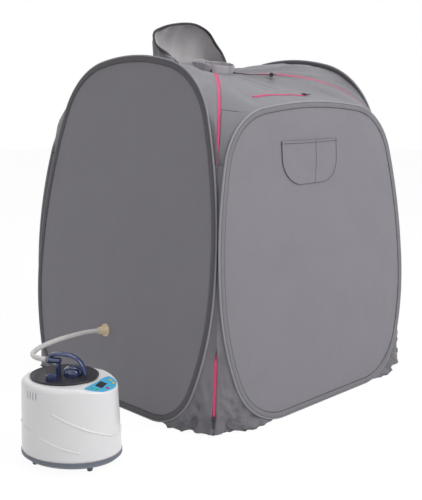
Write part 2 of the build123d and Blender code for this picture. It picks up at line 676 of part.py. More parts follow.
def tank():
    """Water tank: an oval cup on a skirt that stands in the base tray."""
    a, b = OPENING_HALF[0] - TANK_CLEARANCE, OPENING_HALF[1] - TANK_CLEARANCE
    wall = TANK_WALL
    low = FOOT_HEIGHT + BODY_WALL + STRIP_PLAY
    outer = extrude(Pos(*LID_PLACE, low) * Ellipse(a, b), amount=BODY_TOP - low)
    cup = extrude(Pos(*LID_PLACE, TANK_FLOOR) * Ellipse(a - wall, b - wall), amount=BODY_TOP)
    under = extrude(Pos(*LID_PLACE, low) * Ellipse(a - wall, b - wall),
                    amount=TANK_FLOOR - wall - low)
    save("water_tank", STEAMER * (outer - cup - under))
    ring = Pos(*LID_PLACE, TANK_FLOOR + 8) * Torus(HEATER_RADIUS, 4)
    legs = [Pos(LID_PLACE[0] + x, LID_PLACE[1], TANK_FLOOR + 3) * Cylinder(2.5, 6)
            for x in (-HEATER_RADIUS, HEATER_RADIUS)]
    save("heating_element", STEAMER * fused(ring, *legs))


def lid():
    """Lid plate with the dome, the outlet post and the handle that arches over it."""
    top = BODY_TOP + PLAY
    plate = extrude(Pos(*LID_PLACE, top) * Ellipse(OPENING_HALF[0] + LID_LAP, OPENING_HALF[1] + LID_LAP),
                    amount=LID_THICKNESS)
    a, b = OPENING_HALF[0] - TANK_CLEARANCE, OPENING_HALF[1] - TANK_CLEARANCE
    inset = TANK_WALL + PLAY
    plug = extrude(Pos(*LID_PLACE, top) * (Ellipse(a - inset, b - inset)
                                           - Ellipse(a - inset - 3, b - inset - 3)), amount=-5)
    face = LID_FACE
    vent = Pos(*POST, top) * Cylinder(4, 30)
    plate = plate + plug - vent
    cap_hole = Pos(*CAP_PLACE, top) * Cylinder(CAP_RADIUS - 6, 30)
    save("lid", STEAMER * (plate - cap_hole))
    dome = Pos(*DOME_PLACE, face + STRIP_PLAY) * extrude(Circle(DOME_RADIUS), amount=DOME_HEIGHT)
    dome = fillet(dome.edges().sort_by(Axis.Z)[-1], DOME_HEIGHT - 4)
    room = Pos(*DOME_PLACE, face) * extrude(Circle(DOME_RADIUS - 2.5), amount=DOME_HEIGHT - 4)
    room = fillet(room.edges().sort_by(Axis.Z)[-1], DOME_HEIGHT - 6)
    save("steam_dome", STEAMER * (dome - room))
    post = extrude(Pos(*POST, face + STRIP_PLAY) * Circle(NOZZLE_RADIUS - 1),
                   amount=NOZZLE_HEIGHT - face)
    length = POST[0] - NOZZLE_REACH
    tip = Plane(origin=(POST[0] + NOZZLE_RADIUS, POST[1] * 0, NOZZLE_HEIGHT), x_dir=(0, 1, 0),
                z_dir=(-1, 0, 0))
    arm = extrude(tip * Circle(NOZZLE_RADIUS), amount=length + NOZZLE_RADIUS)
    bore = extrude(tip.offset(NOZZLE_RADIUS) * Circle(HOSE_BORE), amount=length + NOZZLE_RADIUS)
    drop = extrude(Pos(*POST, face) * Circle(4), amount=NOZZLE_HEIGHT - face)
    save("outlet_nozzle", STEAMER * (post + arm - bore - drop))
    handle()


def handle():
    """Arched handle: out of the nozzle head, over the dome and down to the lid."""
    face = LID_FACE + STRIP_PLAY
    start = (POST[0] + NOZZLE_RADIUS + STRIP_PLAY, NOZZLE_HEIGHT + 8)
    top = (start[0] + 28, NOZZLE_HEIGHT + 12)
    end = (HANDLE_END[0], face + 1.5)
    outer = make_face([
        ThreePointArc((start[0], start[1] + 5), top, (end[0] + 2, end[1] + 6)),
        Line((end[0] + 2, end[1] + 6), (end[0] + 2, end[1] - 1.5)),
        Line((end[0] + 2, end[1] - 1.5), (end[0] - 4, end[1] - 1.5)),
        ThreePointArc((end[0] - 4, end[1] - 1.5), (top[0] - 4, top[1] - 9), (start[0], start[1] - 6)),
        Line((start[0], start[1] - 6), (start[0], start[1] + 5)),
    ])
    profile = Plane(origin=(0, HANDLE_END[1], 0), x_dir=(1, 0, 0), z_dir=(0, -1, 0))
    arch = extrude(profile * outer, amount=HANDLE_HALF, both=True)
    save("lid_handle", STEAMER * arch)


def filler_cap():
    face = LID_FACE + STRIP_PLAY
    cap = extrude(Pos(*CAP_PLACE, face) * Circle(CAP_RADIUS), amount=CAP_HEIGHT)
    for step in range(CAP_NOTCHES):
        a = 2 * math.pi * step / CAP_NOTCHES
        cap -= Pos(CAP_PLACE[0] + CAP_RADIUS * math.cos(a), CAP_PLACE[1] + CAP_RADIUS * math.sin(a),
                   face + CAP_HEIGHT / 2) * Cylinder(1.2, CAP_HEIGHT + 2)
    stem = extrude(Pos(*CAP_PLACE, face) * Circle(CAP_RADIUS - 6 - PLAY), amount=-LID_THICKNESS)
    save("filler_cap", STEAMER * (cap + stem))


# ---- control panel, buttons, inlet ----------------------------------------------------------
def control_plane():
    """Face of the sloping top, centred on the control panel."""
    run = CONTROL_PLACE[0] - SLOPE_START
    origin = (CONTROL_PLACE[0], CONTROL_PLACE[1],
              BODY_TOP - run * math.tan(math.radians(SLOPE)))
    s = math.radians(SLOPE)
    t = math.radians(CONTROL_TURN)
    along = Vector(math.cos(s), 0, -math.sin(s)) * math.cos(t) + Vector(0, 1, 0) * math.sin(t)
    return Plane(origin=origin, x_dir=along, z_dir=(math.sin(s), 0, math.cos(s)))


def controls():
    plane = control_plane()
    leaf = make_face([Spline(*CONTROL_OUTER), Spline(*CONTROL_INNER)])
    plate = extrude(plane.offset(STRIP_PLAY / 2) * leaf, amount=PLATE)
    window = plane.offset(PLATE - 1) * Pos(*DISPLAY_PLACE) * Rectangle(*DISPLAY)
    save("display_window", STEAMER * extrude(window, amount=1.4))
    plate -= extrude(plane.offset(PLATE - 1 - STRIP_PLAY / 2) * Pos(*DISPLAY_PLACE) * Rectangle(
        DISPLAY[0] + STRIP_PLAY, DISPLAY[1] + STRIP_PLAY), amount=4)
    for name, x, y in BUTTONS:
        hole = plane * Pos(x, y) * Circle(BUTTON_RADIUS + STRIP_PLAY)
        plate -= extrude(hole, amount=2 * PLATE, both=True)
        button = plane.offset(BUTTON_TRAVEL + STRIP_PLAY) * Pos(x, y) * Circle(BUTTON_RADIUS)
        save(f"{name}_button", STEAMER * extrude(button, amount=PLATE + 1 - BUTTON_TRAVEL))
    save("control_panel", STEAMER * plate)
    s, t = math.radians(SLOPE), math.radians(STEAMER_TURN)
    out = (math.sin(s) * math.cos(t), math.sin(s) * math.sin(t), math.cos(s))
    print("button axis", tuple(round(v, 4) for v in out))


def power_inlet():
    """Mains socket for a plug-in lead, let into the rear wall near the base."""
    depth = INLET_SIZE[2]
    block = Pos(INLET[0], BODY_HALF[1] - depth / 2, INLET[1]) * Box(INLET_SIZE[0], depth,
                                                                    INLET_SIZE[1])
    well = Pos(INLET[0], BODY_HALF[1] - depth / 2 + 4, INLET[1]) * Box(INLET_SIZE[0] - 6, depth,
                                                                       INLET_SIZE[1] - 6)
    body = block - well
    for x in (-7, 0, 7):
        body += Pos(INLET[0] + x, BODY_HALF[1] - depth / 2, INLET[1]) * Box(2, depth - 6, 5)
    save("power_inlet", STEAMER * body)


# ---- steam port ------------------------------------------------------------------------------
def hose_fitting():
    """Bell that the hose end plugs into, with its tail through the cabin wall."""
    plane = PANELS["left"][1]
    here = Plane(origin=plane.from_local_coords(Vector(*PORT, 0)), x_dir=plane.x_dir,
                 z_dir=plane.z_dir)
    face = CLOTH / 2 + STRIP_PLAY
    flange = extrude(here.offset(face) * Circle(BELL_RADII[0] + 4), amount=2)
    bell = loft([here.offset(face + 1) * Circle(BELL_RADII[0]),
                 here.offset(face + BELL_LENGTH) * Circle(BELL_RADII[1])])
    tail = extrude(here.offset(-PORT_TAIL) * Circle(PORT_HOLE - PLAY), amount=PORT_TAIL + face + 1)
    bore = extrude(here.offset(-PORT_TAIL - 1) * Circle(HOSE_BORE), amount=PORT_TAIL + face
                   + BELL_LENGTH + 2)
    save("hose_fitting", flange + bell + tail - bore)
    tip = here.offset(face + BELL_LENGTH).origin
    print("bell tip", tuple(round(v, 1) for v in tip), "outwards",
          tuple(round(v, 4) for v in here.z_dir))


def pocket():
    u, mouth, width, depth = POCKET
    hoop, plane = PANELS["front"]
    outline = Pos(u, mouth - depth / 2) * Rectangle(width, depth)
    outline = fillet(outline.vertices().group_by(Axis.Y)[0], POCKET_CORNER)
    face = CLOTH / 2 + STRIP_PLAY
    save("pocket", slab(plane, outline, face, face + CLOTH))


for panel in PANELS:
    hoop_panel(panel)
save("roof_cloth", sheet(roof_columns(), SKIN))
save("roof_flap", sheet(flap_columns(), SKIN))
door_shoulders()
gussets()
floor_sheet()
zip_tapes()
sliders()
gap = math.degrees(COLLAR_GAP / NECK_RADIUS)
collar("neck_collar", -45 + gap, ZIP_BEARING - gap)
collar("collar_front", ZIP_BEARING + gap, 315 - gap)
hood()
cord("drawcord", CORD_POINTS, CORD_RADIUS)
cord_lock()
pocket()
hose_fitting()
cord("steam_hose", HOSE_POINTS, HOSE_RADIUS)
steamer_body()
tank()
lid()
filler_cap()
controls()
power_inlet()
print("fold line", tuple(round(v, 2) for v in front_rim(180)))
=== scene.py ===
import math
import bpy
import numpy as np
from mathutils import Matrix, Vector, noise


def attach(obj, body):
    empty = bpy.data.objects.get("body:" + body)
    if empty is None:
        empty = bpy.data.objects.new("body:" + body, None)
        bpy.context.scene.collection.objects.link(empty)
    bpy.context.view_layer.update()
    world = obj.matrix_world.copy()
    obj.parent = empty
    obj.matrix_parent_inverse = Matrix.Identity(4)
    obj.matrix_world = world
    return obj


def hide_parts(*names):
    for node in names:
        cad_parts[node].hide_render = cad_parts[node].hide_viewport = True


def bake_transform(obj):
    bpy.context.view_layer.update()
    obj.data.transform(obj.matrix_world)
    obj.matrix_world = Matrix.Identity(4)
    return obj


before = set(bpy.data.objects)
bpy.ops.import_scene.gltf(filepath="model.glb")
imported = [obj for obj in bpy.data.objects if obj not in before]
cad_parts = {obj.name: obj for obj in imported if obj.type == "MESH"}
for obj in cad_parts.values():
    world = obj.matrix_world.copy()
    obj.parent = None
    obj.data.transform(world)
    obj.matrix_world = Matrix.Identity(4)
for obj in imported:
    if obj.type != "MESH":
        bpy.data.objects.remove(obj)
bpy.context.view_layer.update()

# ---- studio ------------------------------------------------------------------
# The cabin and steamer stand on a plain white floor under three big soft lamps:
# one high in front, one overhead, and a weak one on the left.
camera_data = bpy.data.cameras.new("studio_camera")
camera_data.lens = 61.3
camera_data.sensor_width = 36.0
camera_data.shift_x = -0.0167
camera_data.clip_end = 60.0
camera = bpy.data.objects.new("studio_camera", camera_data)
camera.location = (-1.912, -1.910, 0.9085)
camera.rotation_euler = (math.radians(90 - 10.87), 0, math.radians(-45))
bpy.context.collection.objects.link(camera)
bpy.context.scene.camera = camera
bpy.context.scene.view_settings.view_transform = "Standard"

for lamp_name, place, aim, size, power in (
        ("front_softbox", (0.3, -3.0, 2.4), (-0.1, 0.0, 0.45), 2.2, 63),
        ("top_softbox", (0.4, 0.2, 3.4), (0.0, 0.0, 0.5), 2.4, 29),
        ("left_softbox", (-3.2, -0.4, 1.6), (-0.3, 0.0, 0.4), 1.8, 8)):
    lamp_data = bpy.data.lights.new(lamp_name, "AREA")
    lamp_data.size = size
    lamp_data.energy = power
    lamp = bpy.data.objects.new(lamp_name, lamp_data)
    lamp.location = place
    lamp.rotation_euler = (Vector(aim) - Vector(place)).to_track_quat("-Z", "Y").to_euler()
    bpy.context.collection.objects.link(lamp)


class Wire:
    """An output in a material that takes Python's arithmetic; make() adds any other node."""

    def __init__(self, tree, socket=None):
        self.tree, self.socket = tree, socket

    def make(self, kind, settings=None, sockets=None, out=0):
        node = self.tree.nodes.new(kind)
        for name, value in (settings or {}).items():
            setattr(node, name, value)
        for name, value in (sockets or {}).items():
            if isinstance(value, Wire):
                self.tree.links.new(value.socket, node.inputs[name])
            else:
                node.inputs[name].default_value = value
        return Wire(self.tree, node.outputs[out] if node.outputs else None)

    def maths(self, operation, *values):
        return self.make("ShaderNodeMath", {"operation": operation}, dict(enumerate(values)))

    def tint(self, share, low, high):
        colours = [c if isinstance(c, Wire) else (*c, 1) for c in (low, high)]
        return self.make("ShaderNodeMix", {"data_type": "RGBA"},
                         {0: share, 6: colours[0], 7: colours[1]}, 2)

    def noise(self, scale, detail=3.0, **sockets):
        return self.make("ShaderNodeTexNoise", None, {
            "Vector": self.make("ShaderNodeTexCoord", out="Object"),
            "Scale": scale, "Detail": detail, **sockets})

    def wave(self, scale, way="DIAGONAL", **sockets):
        return self.make("ShaderNodeTexWave", {"bands_direction": way}, {
            "Vector": self.make("ShaderNodeTexCoord", out="Object"), "Scale": scale, **sockets})

    def between(self, low, high):
        """0 below low, 1 above high, and smooth between them."""
        return self.make("ShaderNodeMapRange", {"interpolation_type": "SMOOTHSTEP"},
                         {"Value": self, "From Min": low, "From Max": high})

    def __add__(self, other):
        return self.maths("ADD", self, other)

    def __radd__(self, other):
        return self.maths("ADD", other, self)

    def __sub__(self, other):
        return self.maths("SUBTRACT", self, other)

    def __rsub__(self, other):
        return self.maths("SUBTRACT", other, self)

    def __mul__(self, other):
        return self.maths("MULTIPLY", self, other)

    def __rmul__(self, other):
        return self.maths("MULTIPLY", other, self)


def blank_finish(name):
    material = bpy.data.materials.new(name)
    material.use_nodes = True
    material.node_tree.nodes.clear()
    return material, Wire(material.node_tree)


def seen_plainly(wires):
    """1 for rays from the camera, off something glossy or through something clear."""
    rays = [wires.make("ShaderNodeLightPath", out=f"Is {kind} Ray")
            for kind in ("Camera", "Glossy", "Transmission")]
    return wires.maths("MAXIMUM", rays[0], wires.maths("MAXIMUM", rays[1], rays[2]))


WHITE = (1, 1, 1, 1)
world = bpy.data.worlds.new("studio_world")
bpy.context.scene.world = world
world.use_nodes = True
world.node_tree.nodes.clear()
sky = Wire(world.node_tree)
soft = sky.make("ShaderNodeBackground", None, {"Color": WHITE, "Strength": 0.36})
clear = sky.make("ShaderNodeBackground", None, {"Color": WHITE, "Strength": 1.0})
sky.make("ShaderNodeOutputWorld", None, {"Surface": sky.make(
    "ShaderNodeMixShader", None, {0: seen_plainly(sky), 1: soft, 2: clear})})

floor_mesh = bpy.data.meshes.new("studio_floor")
floor_mesh.from_pydata([(x, y, -0.0006) for x, y in ((-9, -9), (9, -9), (9, 9), (-9, 9))],
                       [], [(0, 1, 2, 3)])
floor = bpy.data.objects.new("studio_floor", floor_mesh)
bpy.context.collection.objects.link(floor)
material, wires = blank_finish("white_floor")
matt = wires.make("ShaderNodeBsdfDiffuse", None, {"Color": (0.86, 0.86, 0.86, 1)})
glow = wires.make("ShaderNodeEmission", None, {"Color": WHITE, "Strength": 1.05})
wires.make("ShaderNodeOutputMaterial", None, {"Surface": wires.make(
    "ShaderNodeMixShader", None, {0: seen_plainly(wires) * 0.9, 1: matt, 2: glow})})
floor_mesh.materials.append(material)

# ---- steam hose --------------------------------------------------------------
# Soft clear silicone hose, 13 mm across with a 2 mm wall.  It is pushed into the
# nozzle on the steamer's lid at one end and into the cream bell at the other.
HOSE_WIDTH = 0.013
HOSE_ROUTE = (
    (-0.7952, -0.1945, 0.2500),
    (-0.8062, -0.1754, 0.2500),
    (-0.8033, -0.1414, 0.2500),
    (-0.7792, -0.1117, 0.2490),
    (-0.7227, -0.0693, 0.2430),
    (-0.6406, -0.0240, 0.2330),
    (-0.5728, 0.0071, 0.2230),
    (-0.5081, 0.0300, 0.2154),
    (-0.4704, 0.0300, 0.2104),
)


def shade_with(wires, sockets, height=None, depth=0.001, strength=1.0):
    """Closes a material with a Principled shader, and a bump where height is given."""
    if height is not None:
        sockets = {**sockets, "Normal": wires.make("ShaderNodeBump", None, {
            "Height": height, "Distance": depth, "Strength": strength})}
    shader = wires.make("ShaderNodeBsdfPrincipled", None, sockets)
    wires.make("ShaderNodeOutputMaterial", None, {"Surface": shader})


def plain_finish(name, low, high, scale, detail, rough, depth, **sockets):
    """One noise mottles the colour and the shine, rough being the least shine lost and how
    much more the noise adds, and it roughens the surface."""
    material, wires = blank_finish(name)
    grain = wires.noise(scale, detail)
    sockets = {title.replace("_", " "): value for title, value in sockets.items()}
    shade_with(wires, {"Base Color": wires.tint(grain, low, high),
                       "Roughness": rough[0] + rough[1] * grain, **sockets}, grain, depth)
    return material


def cord_piece(name, route, width, finish, sides, body, node):
    """A cord as one smooth NURBS spline along its given route."""
    curve = bpy.data.curves.new(name, "CURVE")
    curve.dimensions = "3D"
    curve.bevel_depth = width / 2
    curve.bevel_resolution = sides
    curve.resolution_u = 12
    curve.use_fill_caps = True
    spline = curve.splines.new("NURBS")
    spline.points.add(len(route) - 1)
    for point, place in zip(spline.points, route):
        point.co = (*place, 1.0)
    spline.order_u = 3
    spline.use_endpoint_u = True
    curve.materials.append(finish)
    piece = bpy.data.objects.new(name, curve)
    bpy.context.collection.objects.link(piece)
    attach(piece, body)
    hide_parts(node)
    return piece


def laid_length(piece):
    """Length down the middle of a cord, read off its spline."""
    bare = piece.copy()
    bare.data = piece.data.copy()
    bare.data.bevel_depth = 0.0
    line = bpy.data.meshes.new_from_object(bare)
    places = [v.co.copy() for v in line.vertices]
    bpy.data.meshes.remove(line)
    bpy.data.curves.remove(bare.data)
    return sum((b - a).length for a, b in zip(places, places[1:]))


silicone = plain_finish("clear_silicone", (0.74, 0.72, 0.72), (0.88, 0.86, 0.85), 30.0, 3.0,
                        (0.30, 0.15), 0.0004, IOR=1.41, Transmission_Weight=0.12,
                        Subsurface_Weight=0.25, Subsurface_Scale=0.006, Coat_Weight=0.2)
hose = cord_piece("hose", HOSE_ROUTE, HOSE_WIDTH, silicone, 6, "cabin", "steam_hose")
laid_length(hose)

# ---- drawcord ----------------------------------------------------------------
# Three millimetre braided black cord that gathers the neck.  Its end comes out
# beside the collar and lies on the roof flap, with a sprung toggle across it.
CORD_WIDTH = 0.003
CORD_ROUTE = (
    (0.0335, -0.0246, 0.9515),
    (0.0430, -0.0520, 0.9470),
    (0.0620, -0.0780, 0.9440),
    (0.0860, -0.1080, 0.9445),
    (0.1110, -0.1356, 0.9438),
)
black_braid, wires = blank_finish("black_braid")
strands = wires.wave(420.0, Distortion=0.4)
shade_with(wires, {"Base Color": wires.tint(strands, (0.004, 0.004, 0.005), (0.030, 0.030, 0.034)),
                   "Roughness": 0.62, "Sheen Weight": 0.3}, strands, 0.0003)
drawcord_end = cord_piece("drawcord_end", CORD_ROUTE, CORD_WIDTH, black_braid, 3, "flap",
                          "drawcord")

# ---- hoop panels -------------------------------------------------------------
# Four flat walls of quilted nylon, each held open by a spring steel strip.  The strip
# runs in a sewn sleeve of folded binding, which has a narrow piping at its outer edge.
SLEEVE_WIDTH = 0.0215
SLEEVE_HALF = 0.0035
QUILT, CLOTH = 0.002, 0.0012
MIDDLE_SHARE = 0.43


class HoopOutline:
    """Outline of a panel: a flat foot, then five tangent arcs up each side to the crown.
    A place on it is found by its turn, the degrees that the outline has turned from the foot."""

    def __init__(self, half_width, widest, height, flat, crown, crown_turn, shoulder_turn,
                 foot_turn=70.0):
        c = math.radians(crown_turn)
        crown_end = (crown * math.sin(c), crown * (1 - math.cos(c)))
        foot, low = self.two_radii((flat, 0), 0, foot_turn, half_width, widest)
        shoulder, high = self.two_radii(crown_end, crown_turn, shoulder_turn, half_width,
                                        height - widest)
        self.height = height
        self.arcs = (
            (foot_turn, (flat, foot), foot),
            (90.0, (half_width - low, widest), low),
            (180.0 - shoulder_turn, (half_width - high, widest), high),
            (180.0 - crown_turn, ((crown - shoulder) * math.sin(c),
                                  height - crown + (crown - shoulder) * math.cos(c)), shoulder),
            (180.0, (0.0, height - crown), crown),
        )

    @staticmethod
    def two_radii(start, start_turn, tight_turn, half_width, rise):
        """Radii of a tight arc and the long one after it, which ends upright."""
        t0, t1 = math.radians(start_turn), math.radians(tight_turn)
        a11, a12 = math.sin(t1) - math.sin(t0), 1 - math.sin(t1)
        a21, a22 = math.cos(t0) - math.cos(t1), math.cos(t1)
        b1, b2 = half_width - start[0], rise - start[1]
        det = a11 * a22 - a12 * a21
        return (b1 * a22 - a12 * b2) / det, (a11 * b2 - a21 * b1) / det

    def place(self, turn, inset=0.0):
        last, centre, radius = next(arc for arc in self.arcs if turn <= arc[0] + 1e-9)
        a = math.radians(turn)
        return (centre[0] + (radius - inset) * math.sin(a),
                centre[1] - (radius - inset) * math.cos(a))

    def around(self, count):
        """Evenly spaced places once round, their inward directions, and the length."""
        turns = np.linspace(0, 180, 721)
        half = np.array([(0.0, 0.0), *(self.place(t) for t in turns)])
        way = np.radians(np.concatenate(([0.0], turns)))
        inward = np.stack((-np.sin(way), np.cos(way)), 1)
        mirror = np.array((-1.0, 1.0))
        places = np.concatenate((half, half[-2::-1] * mirror))
        inward = np.concatenate((inward, inward[-2::-1] * mirror))
        run = np.concatenate(([0.0], np.cumsum(np.linalg.norm(np.diff(places, axis=0), axis=1))))
        stops = np.linspace(0, run[-1], count, endpoint=False)
        pick = lambda values: np.stack([np.interp(stops, run, values[:, k]) for k in (0, 1)], 1)
        inward = pick(inward)
        return pick(places), inward / np.linalg.norm(inward, axis=1)[:, None], run[-1]


class PanelPlane:
    """A leaning panel's own directions: along its foot, up it, and out of it."""

    def __init__(self, bearing, offset, lean):
        a, s = math.radians(bearing), math.radians(lean)
        out = np.array((math.cos(a), math.sin(a), 0))
        self.along = np.array((-math.sin(a), math.cos(a), 0))
        self.normal = out * math.cos(s) + np.array((0, 0, math.sin(s)))
        self.up = np.cross(self.normal, self.along)
        self.origin = out * offset + np.array((0, 0, SLEEVE_HALF * math.sin(s)))

    def at(self, u, h, n=0.0):
        u, h, n = (np.asarray(value, float)[..., None] for value in (u, h, n))
        return self.origin + self.along * u + self.up * h + self.normal * n


SIDE = HoopOutline(0.400, 0.370, 1.005, 0.200, 0.680, 13, 70)
FRONT = HoopOutline(0.415, 0.360, 0.873, 0.190, 1.500, 8, 75)
SIDE_OFFSET, SIDE_LEAN = 0.470, 7.6
FRONT_OFFSET, FRONT_LEAN = 0.445, 4.8
PANELS = {
    "left": (SIDE, PanelPlane(180, SIDE_OFFSET, SIDE_LEAN), "cabin"),
    "right": (SIDE, PanelPlane(0, SIDE_OFFSET, SIDE_LEAN), "cabin"),
    "front": (FRONT, PanelPlane(270, FRONT_OFFSET, FRONT_LEAN), "door"),
    "back": (FRONT, PanelPlane(90, FRONT_OFFSET, FRONT_LEAN), "cabin"),
}
CABIN_MIDDLE = (0.0, 0.0, 0.45)


def ripple(places, size, seed=0.0):
    """Smooth noise from about -1 to 1 at each place; size is its grain in metres."""
    flat = np.asarray(places, float).reshape(-1, np.shape(places)[-1])
    if flat.shape[1] == 2:
        flat = np.column_stack((flat, np.zeros(len(flat))))
    shift = np.array((seed * 7.31, seed * 3.17, seed * 5.73))
    values = [noise.noise(p) for p in map(Vector, flat / size + shift)]
    return np.array(values).reshape(np.shape(places)[:-1]) * 1.6


def grid_mesh(name, rows, finish, round_rows=False, outwards=None):
    """Mesh of a (rows, columns, 3) grid, with a UV map in metres along and across it."""
    rows = np.asarray(rows, float)
    count, across = rows.shape[:2]
    last = across if round_rows else across - 1
    faces = [(i * across + j, i * across + (j + 1) % across,
              (i + 1) * across + (j + 1) % across, (i + 1) * across + j)
             for i in range(count - 1) for j in range(last)]
    step_u = np.linalg.norm(np.diff(rows, axis=1, append=rows[:, :1]), axis=2).mean(0)
    step_v = np.linalg.norm(np.diff(rows, axis=0), axis=2).mean(1)
    u = np.concatenate(([0.0], np.cumsum(step_u)))
    v = np.concatenate(([0.0], np.cumsum(step_v)))
    corners = [((u[j], v[i]), (u[j + 1], v[i]), (u[j + 1], v[i + 1]), (u[j], v[i + 1]))
               for i in range(count - 1) for j in range(last)]
    points = rows.reshape(-1, 3)
    if outwards is not None:
        a, b, c, d = (points[[face[k] for face in faces]] for k in range(4))
        middle, normal = (a + b + c + d) / 4, np.cross(c - a, d - b)
        if (normal * (middle - np.asarray(outwards))).sum() < 0:
            faces = [face[::-1] for face in faces]
            corners = [corner[::-1] for corner in corners]
    mesh = bpy.data.meshes.new(name)
    mesh.from_pydata(points.tolist(), [], faces)
    layer = mesh.uv_layers.new(name="cut")
    layer.data.foreach_set("uv", np.array(corners, float).ravel())
    mesh.polygons.foreach_set("use_smooth", [True] * len(mesh.polygons))
    mesh.materials.append(finish)
    piece = bpy.data.objects.new(name, mesh)
    bpy.context.collection.objects.link(piece)
    return piece


def thicken(piece, wall=CLOTH, offset=-1.0):
    solid = piece.modifiers.new("wall", "SOLIDIFY")
    solid.thickness = wall
    solid.offset = offset


def cloth_area(piece):
    """Area of one face of a cloth's mesh, before it has a thickness."""
    return sum(face.area for face in piece.data.polygons)


def fit_out(piece, body, slot, *nodes):
    """What a finished piece needs: its body unless it bends between two, and the CAD solids it
    stands for. Its slot is not used."""
    if body:
        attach(piece, body)
    if nodes:
        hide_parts(*nodes)


def nylon(name, dark, light, crease=0.0012, sheen=0.25):
    """Plain-woven coated nylon: fine threads, soft creases and a slightly uneven dye, with painted
    shade in the hollows of the creases and painted light on their ridges.
    """
    material, wires = blank_finish(name)
    mottle = wires.noise(9.0, 4.0, Roughness=0.6)
    fold = wires.noise(26.0, 2.0, Distortion=1.4)
    threads = 0.10 * wires.wave(420.0, "Z") + 0.10 * wires.wave(420.0)
    # A quarter of the colour comes from the crease noise that also makes the bump: painted shade in
    # its hollows, painted light on its ridges.
    shade_with(wires, {
        "Base Color": wires.tint(mottle * 0.75 + fold * 0.25, dark, light),
        "Roughness": 0.52 + 0.14 * mottle, "Sheen Weight": sheen, "Sheen Roughness": 0.4},
        fold + threads, crease, 0.5)
    return material


wall_nylon = nylon("grey_wall_nylon", (0.198, 0.190, 0.216), (0.250, 0.240, 0.268), 0.0007)


def binding_cloth(name, dark, light, piping):
    """Folded woven binding, with a paler piping outside and painted shade along the seam at the
    wall.
    """
    material, wires = blank_finish(name)
    cut = wires.make("ShaderNodeUVMap", {"uv_map": "cut"})
    across = wires.make("ShaderNodeSeparateXYZ", None, {"Vector": cut}, 1)
    slub = wires.noise(60.0)
    piped = 1 - across.between(0.0036, 0.0050)
    # Painted shade: the band along the seam at the wall is darkened as the shade of the groove
    # there.
    seam = across.between(0.0172, 0.0200)
    cloth = wires.tint(slub, dark, light)
    shade_with(wires, {
        "Base Color": wires.tint(piped, wires.tint(seam, cloth, (0.080, 0.075, 0.088)), piping),
        "Roughness": 0.60 + 0.12 * slub, "Sheen Weight": 0.2},
        slub + 0.25 * wires.wave(210.0, "Z"), 0.0006, 0.6)
    return material


front_binding = binding_cloth("grey_binding", (0.172, 0.165, 0.186), (0.219, 0.212, 0.234),
                              (0.310, 0.303, 0.330))
# The side sleeves are bound in the same cloth as the others; this darker copy of the binding is
# painted shade.
side_binding_painted_shade = binding_cloth("sleeve_binding_painted_shade", (0.070, 0.064, 0.075), (0.102, 0.094, 0.108),
                             (0.280, 0.273, 0.300))


def sleeve_section():
    """One trip round a sleeve's section: inset from the outline, and height off the panel."""
    bead = [(0.0021 + 0.0020 * math.cos(a), 0.0028 * math.sin(a))
            for a in np.radians(np.linspace(120, 240, 5))]
    low = [(0.0045, -0.0022), (0.007, -0.0030), (0.012, -0.0034), (0.016, -0.0031),
           (0.020, -0.0018)]
    inner = [(0.0214, 0.0)]
    high = [(inset, -height) for inset, height in reversed(low)]
    return np.array([*bead, *low, *inner, *high])


def sleeve(side, stations=460):
    """Binding sleeve swept once round a panel, puckered where the thread draws it in."""
    outline, plane, _ = PANELS[side]
    places, inward, _ = outline.around(stations)
    section = sleeve_section()
    drawn = ripple(places, 0.021, len(side)) * 0.0007 + ripple(places, 0.06, 2.0) * 0.0006
    loose = np.clip((section[:, 0] - 0.004) / 0.012, 0, 1)
    inset = section[None, :, 0]
    height = section[None, :, 1] * (1 + 0.10 * drawn[:, None] / 0.0013) \
        + drawn[:, None] * loose[None, :] * 0.6
    u = places[:, None, 0] + inward[:, None, 0] * inset
    h = places[:, None, 1] + inward[:, None, 1] * inset
    rows = plane.at(u, h, height)
    # The left and right sleeves take the binding with painted shade.
    finish = side_binding_painted_shade if side in ("left", "right") else front_binding
    piece = grid_mesh(f"{side}_sleeve", np.concatenate((rows, rows[:1])), finish, True)
    layer = piece.data.uv_layers["cut"].data
    for loop in piece.data.loops:
        station, around = divmod(loop.vertex_index, len(section))
        layer[loop.index].uv = (station * 0.0065, section[around, 0])
    return piece


def wall_slack(side, flat):
    """How far a wall's cloth stands off its plane where it is a little slack."""
    patchy = np.clip(ripple(flat, 0.30, 4.0) + 0.5, 0, 1)
    drawn = ripple(flat * (1, 0.22), 0.042, 9.0 + len(side)) * patchy
    return (ripple(flat, 0.24, len(side)) * 0.0036 + ripple(flat, 0.09, 6.0) * 0.0011
            + drawn * 0.0009)


def wall(side, rings=34, stations=260):
    """A panel's cloth, gathered to its seam and a little slack in the middle."""
    outline, plane, _ = PANELS[side]
    places, inward, length = outline.around(stations)
    edge = places + inward * (SLEEVE_WIDTH - 0.002)
    middle = np.array((0.0, outline.height * MIDDLE_SHARE))
    shares = np.linspace(0, 1, rings) ** 1.5
    flat = edge[None] * (1 - shares[:, None, None]) + middle * shares[:, None, None]
    reach = np.linalg.norm(edge - middle, axis=1)[None] * shares[:, None]
    run = np.linspace(0, length, stations, endpoint=False)
    beat = run / 0.026 * 2 * math.pi + 3.5 * ripple(places, 0.09, 1.0)
    drawn = 0.55 + 0.45 * ripple(places, 0.16, 4.0)
    pucker = (np.sin(beat) * drawn)[None] * np.exp(-reach / 0.030) * np.minimum(reach / 0.006, 1)
    height = 0.0013 * pucker + wall_slack(side, flat) * np.clip(reach / 0.05, 0, 1)
    rows = plane.at(flat[..., 0], flat[..., 1], height)
    return grid_mesh(f"{side}_wall", rows, wall_nylon, True, CABIN_MIDDLE)


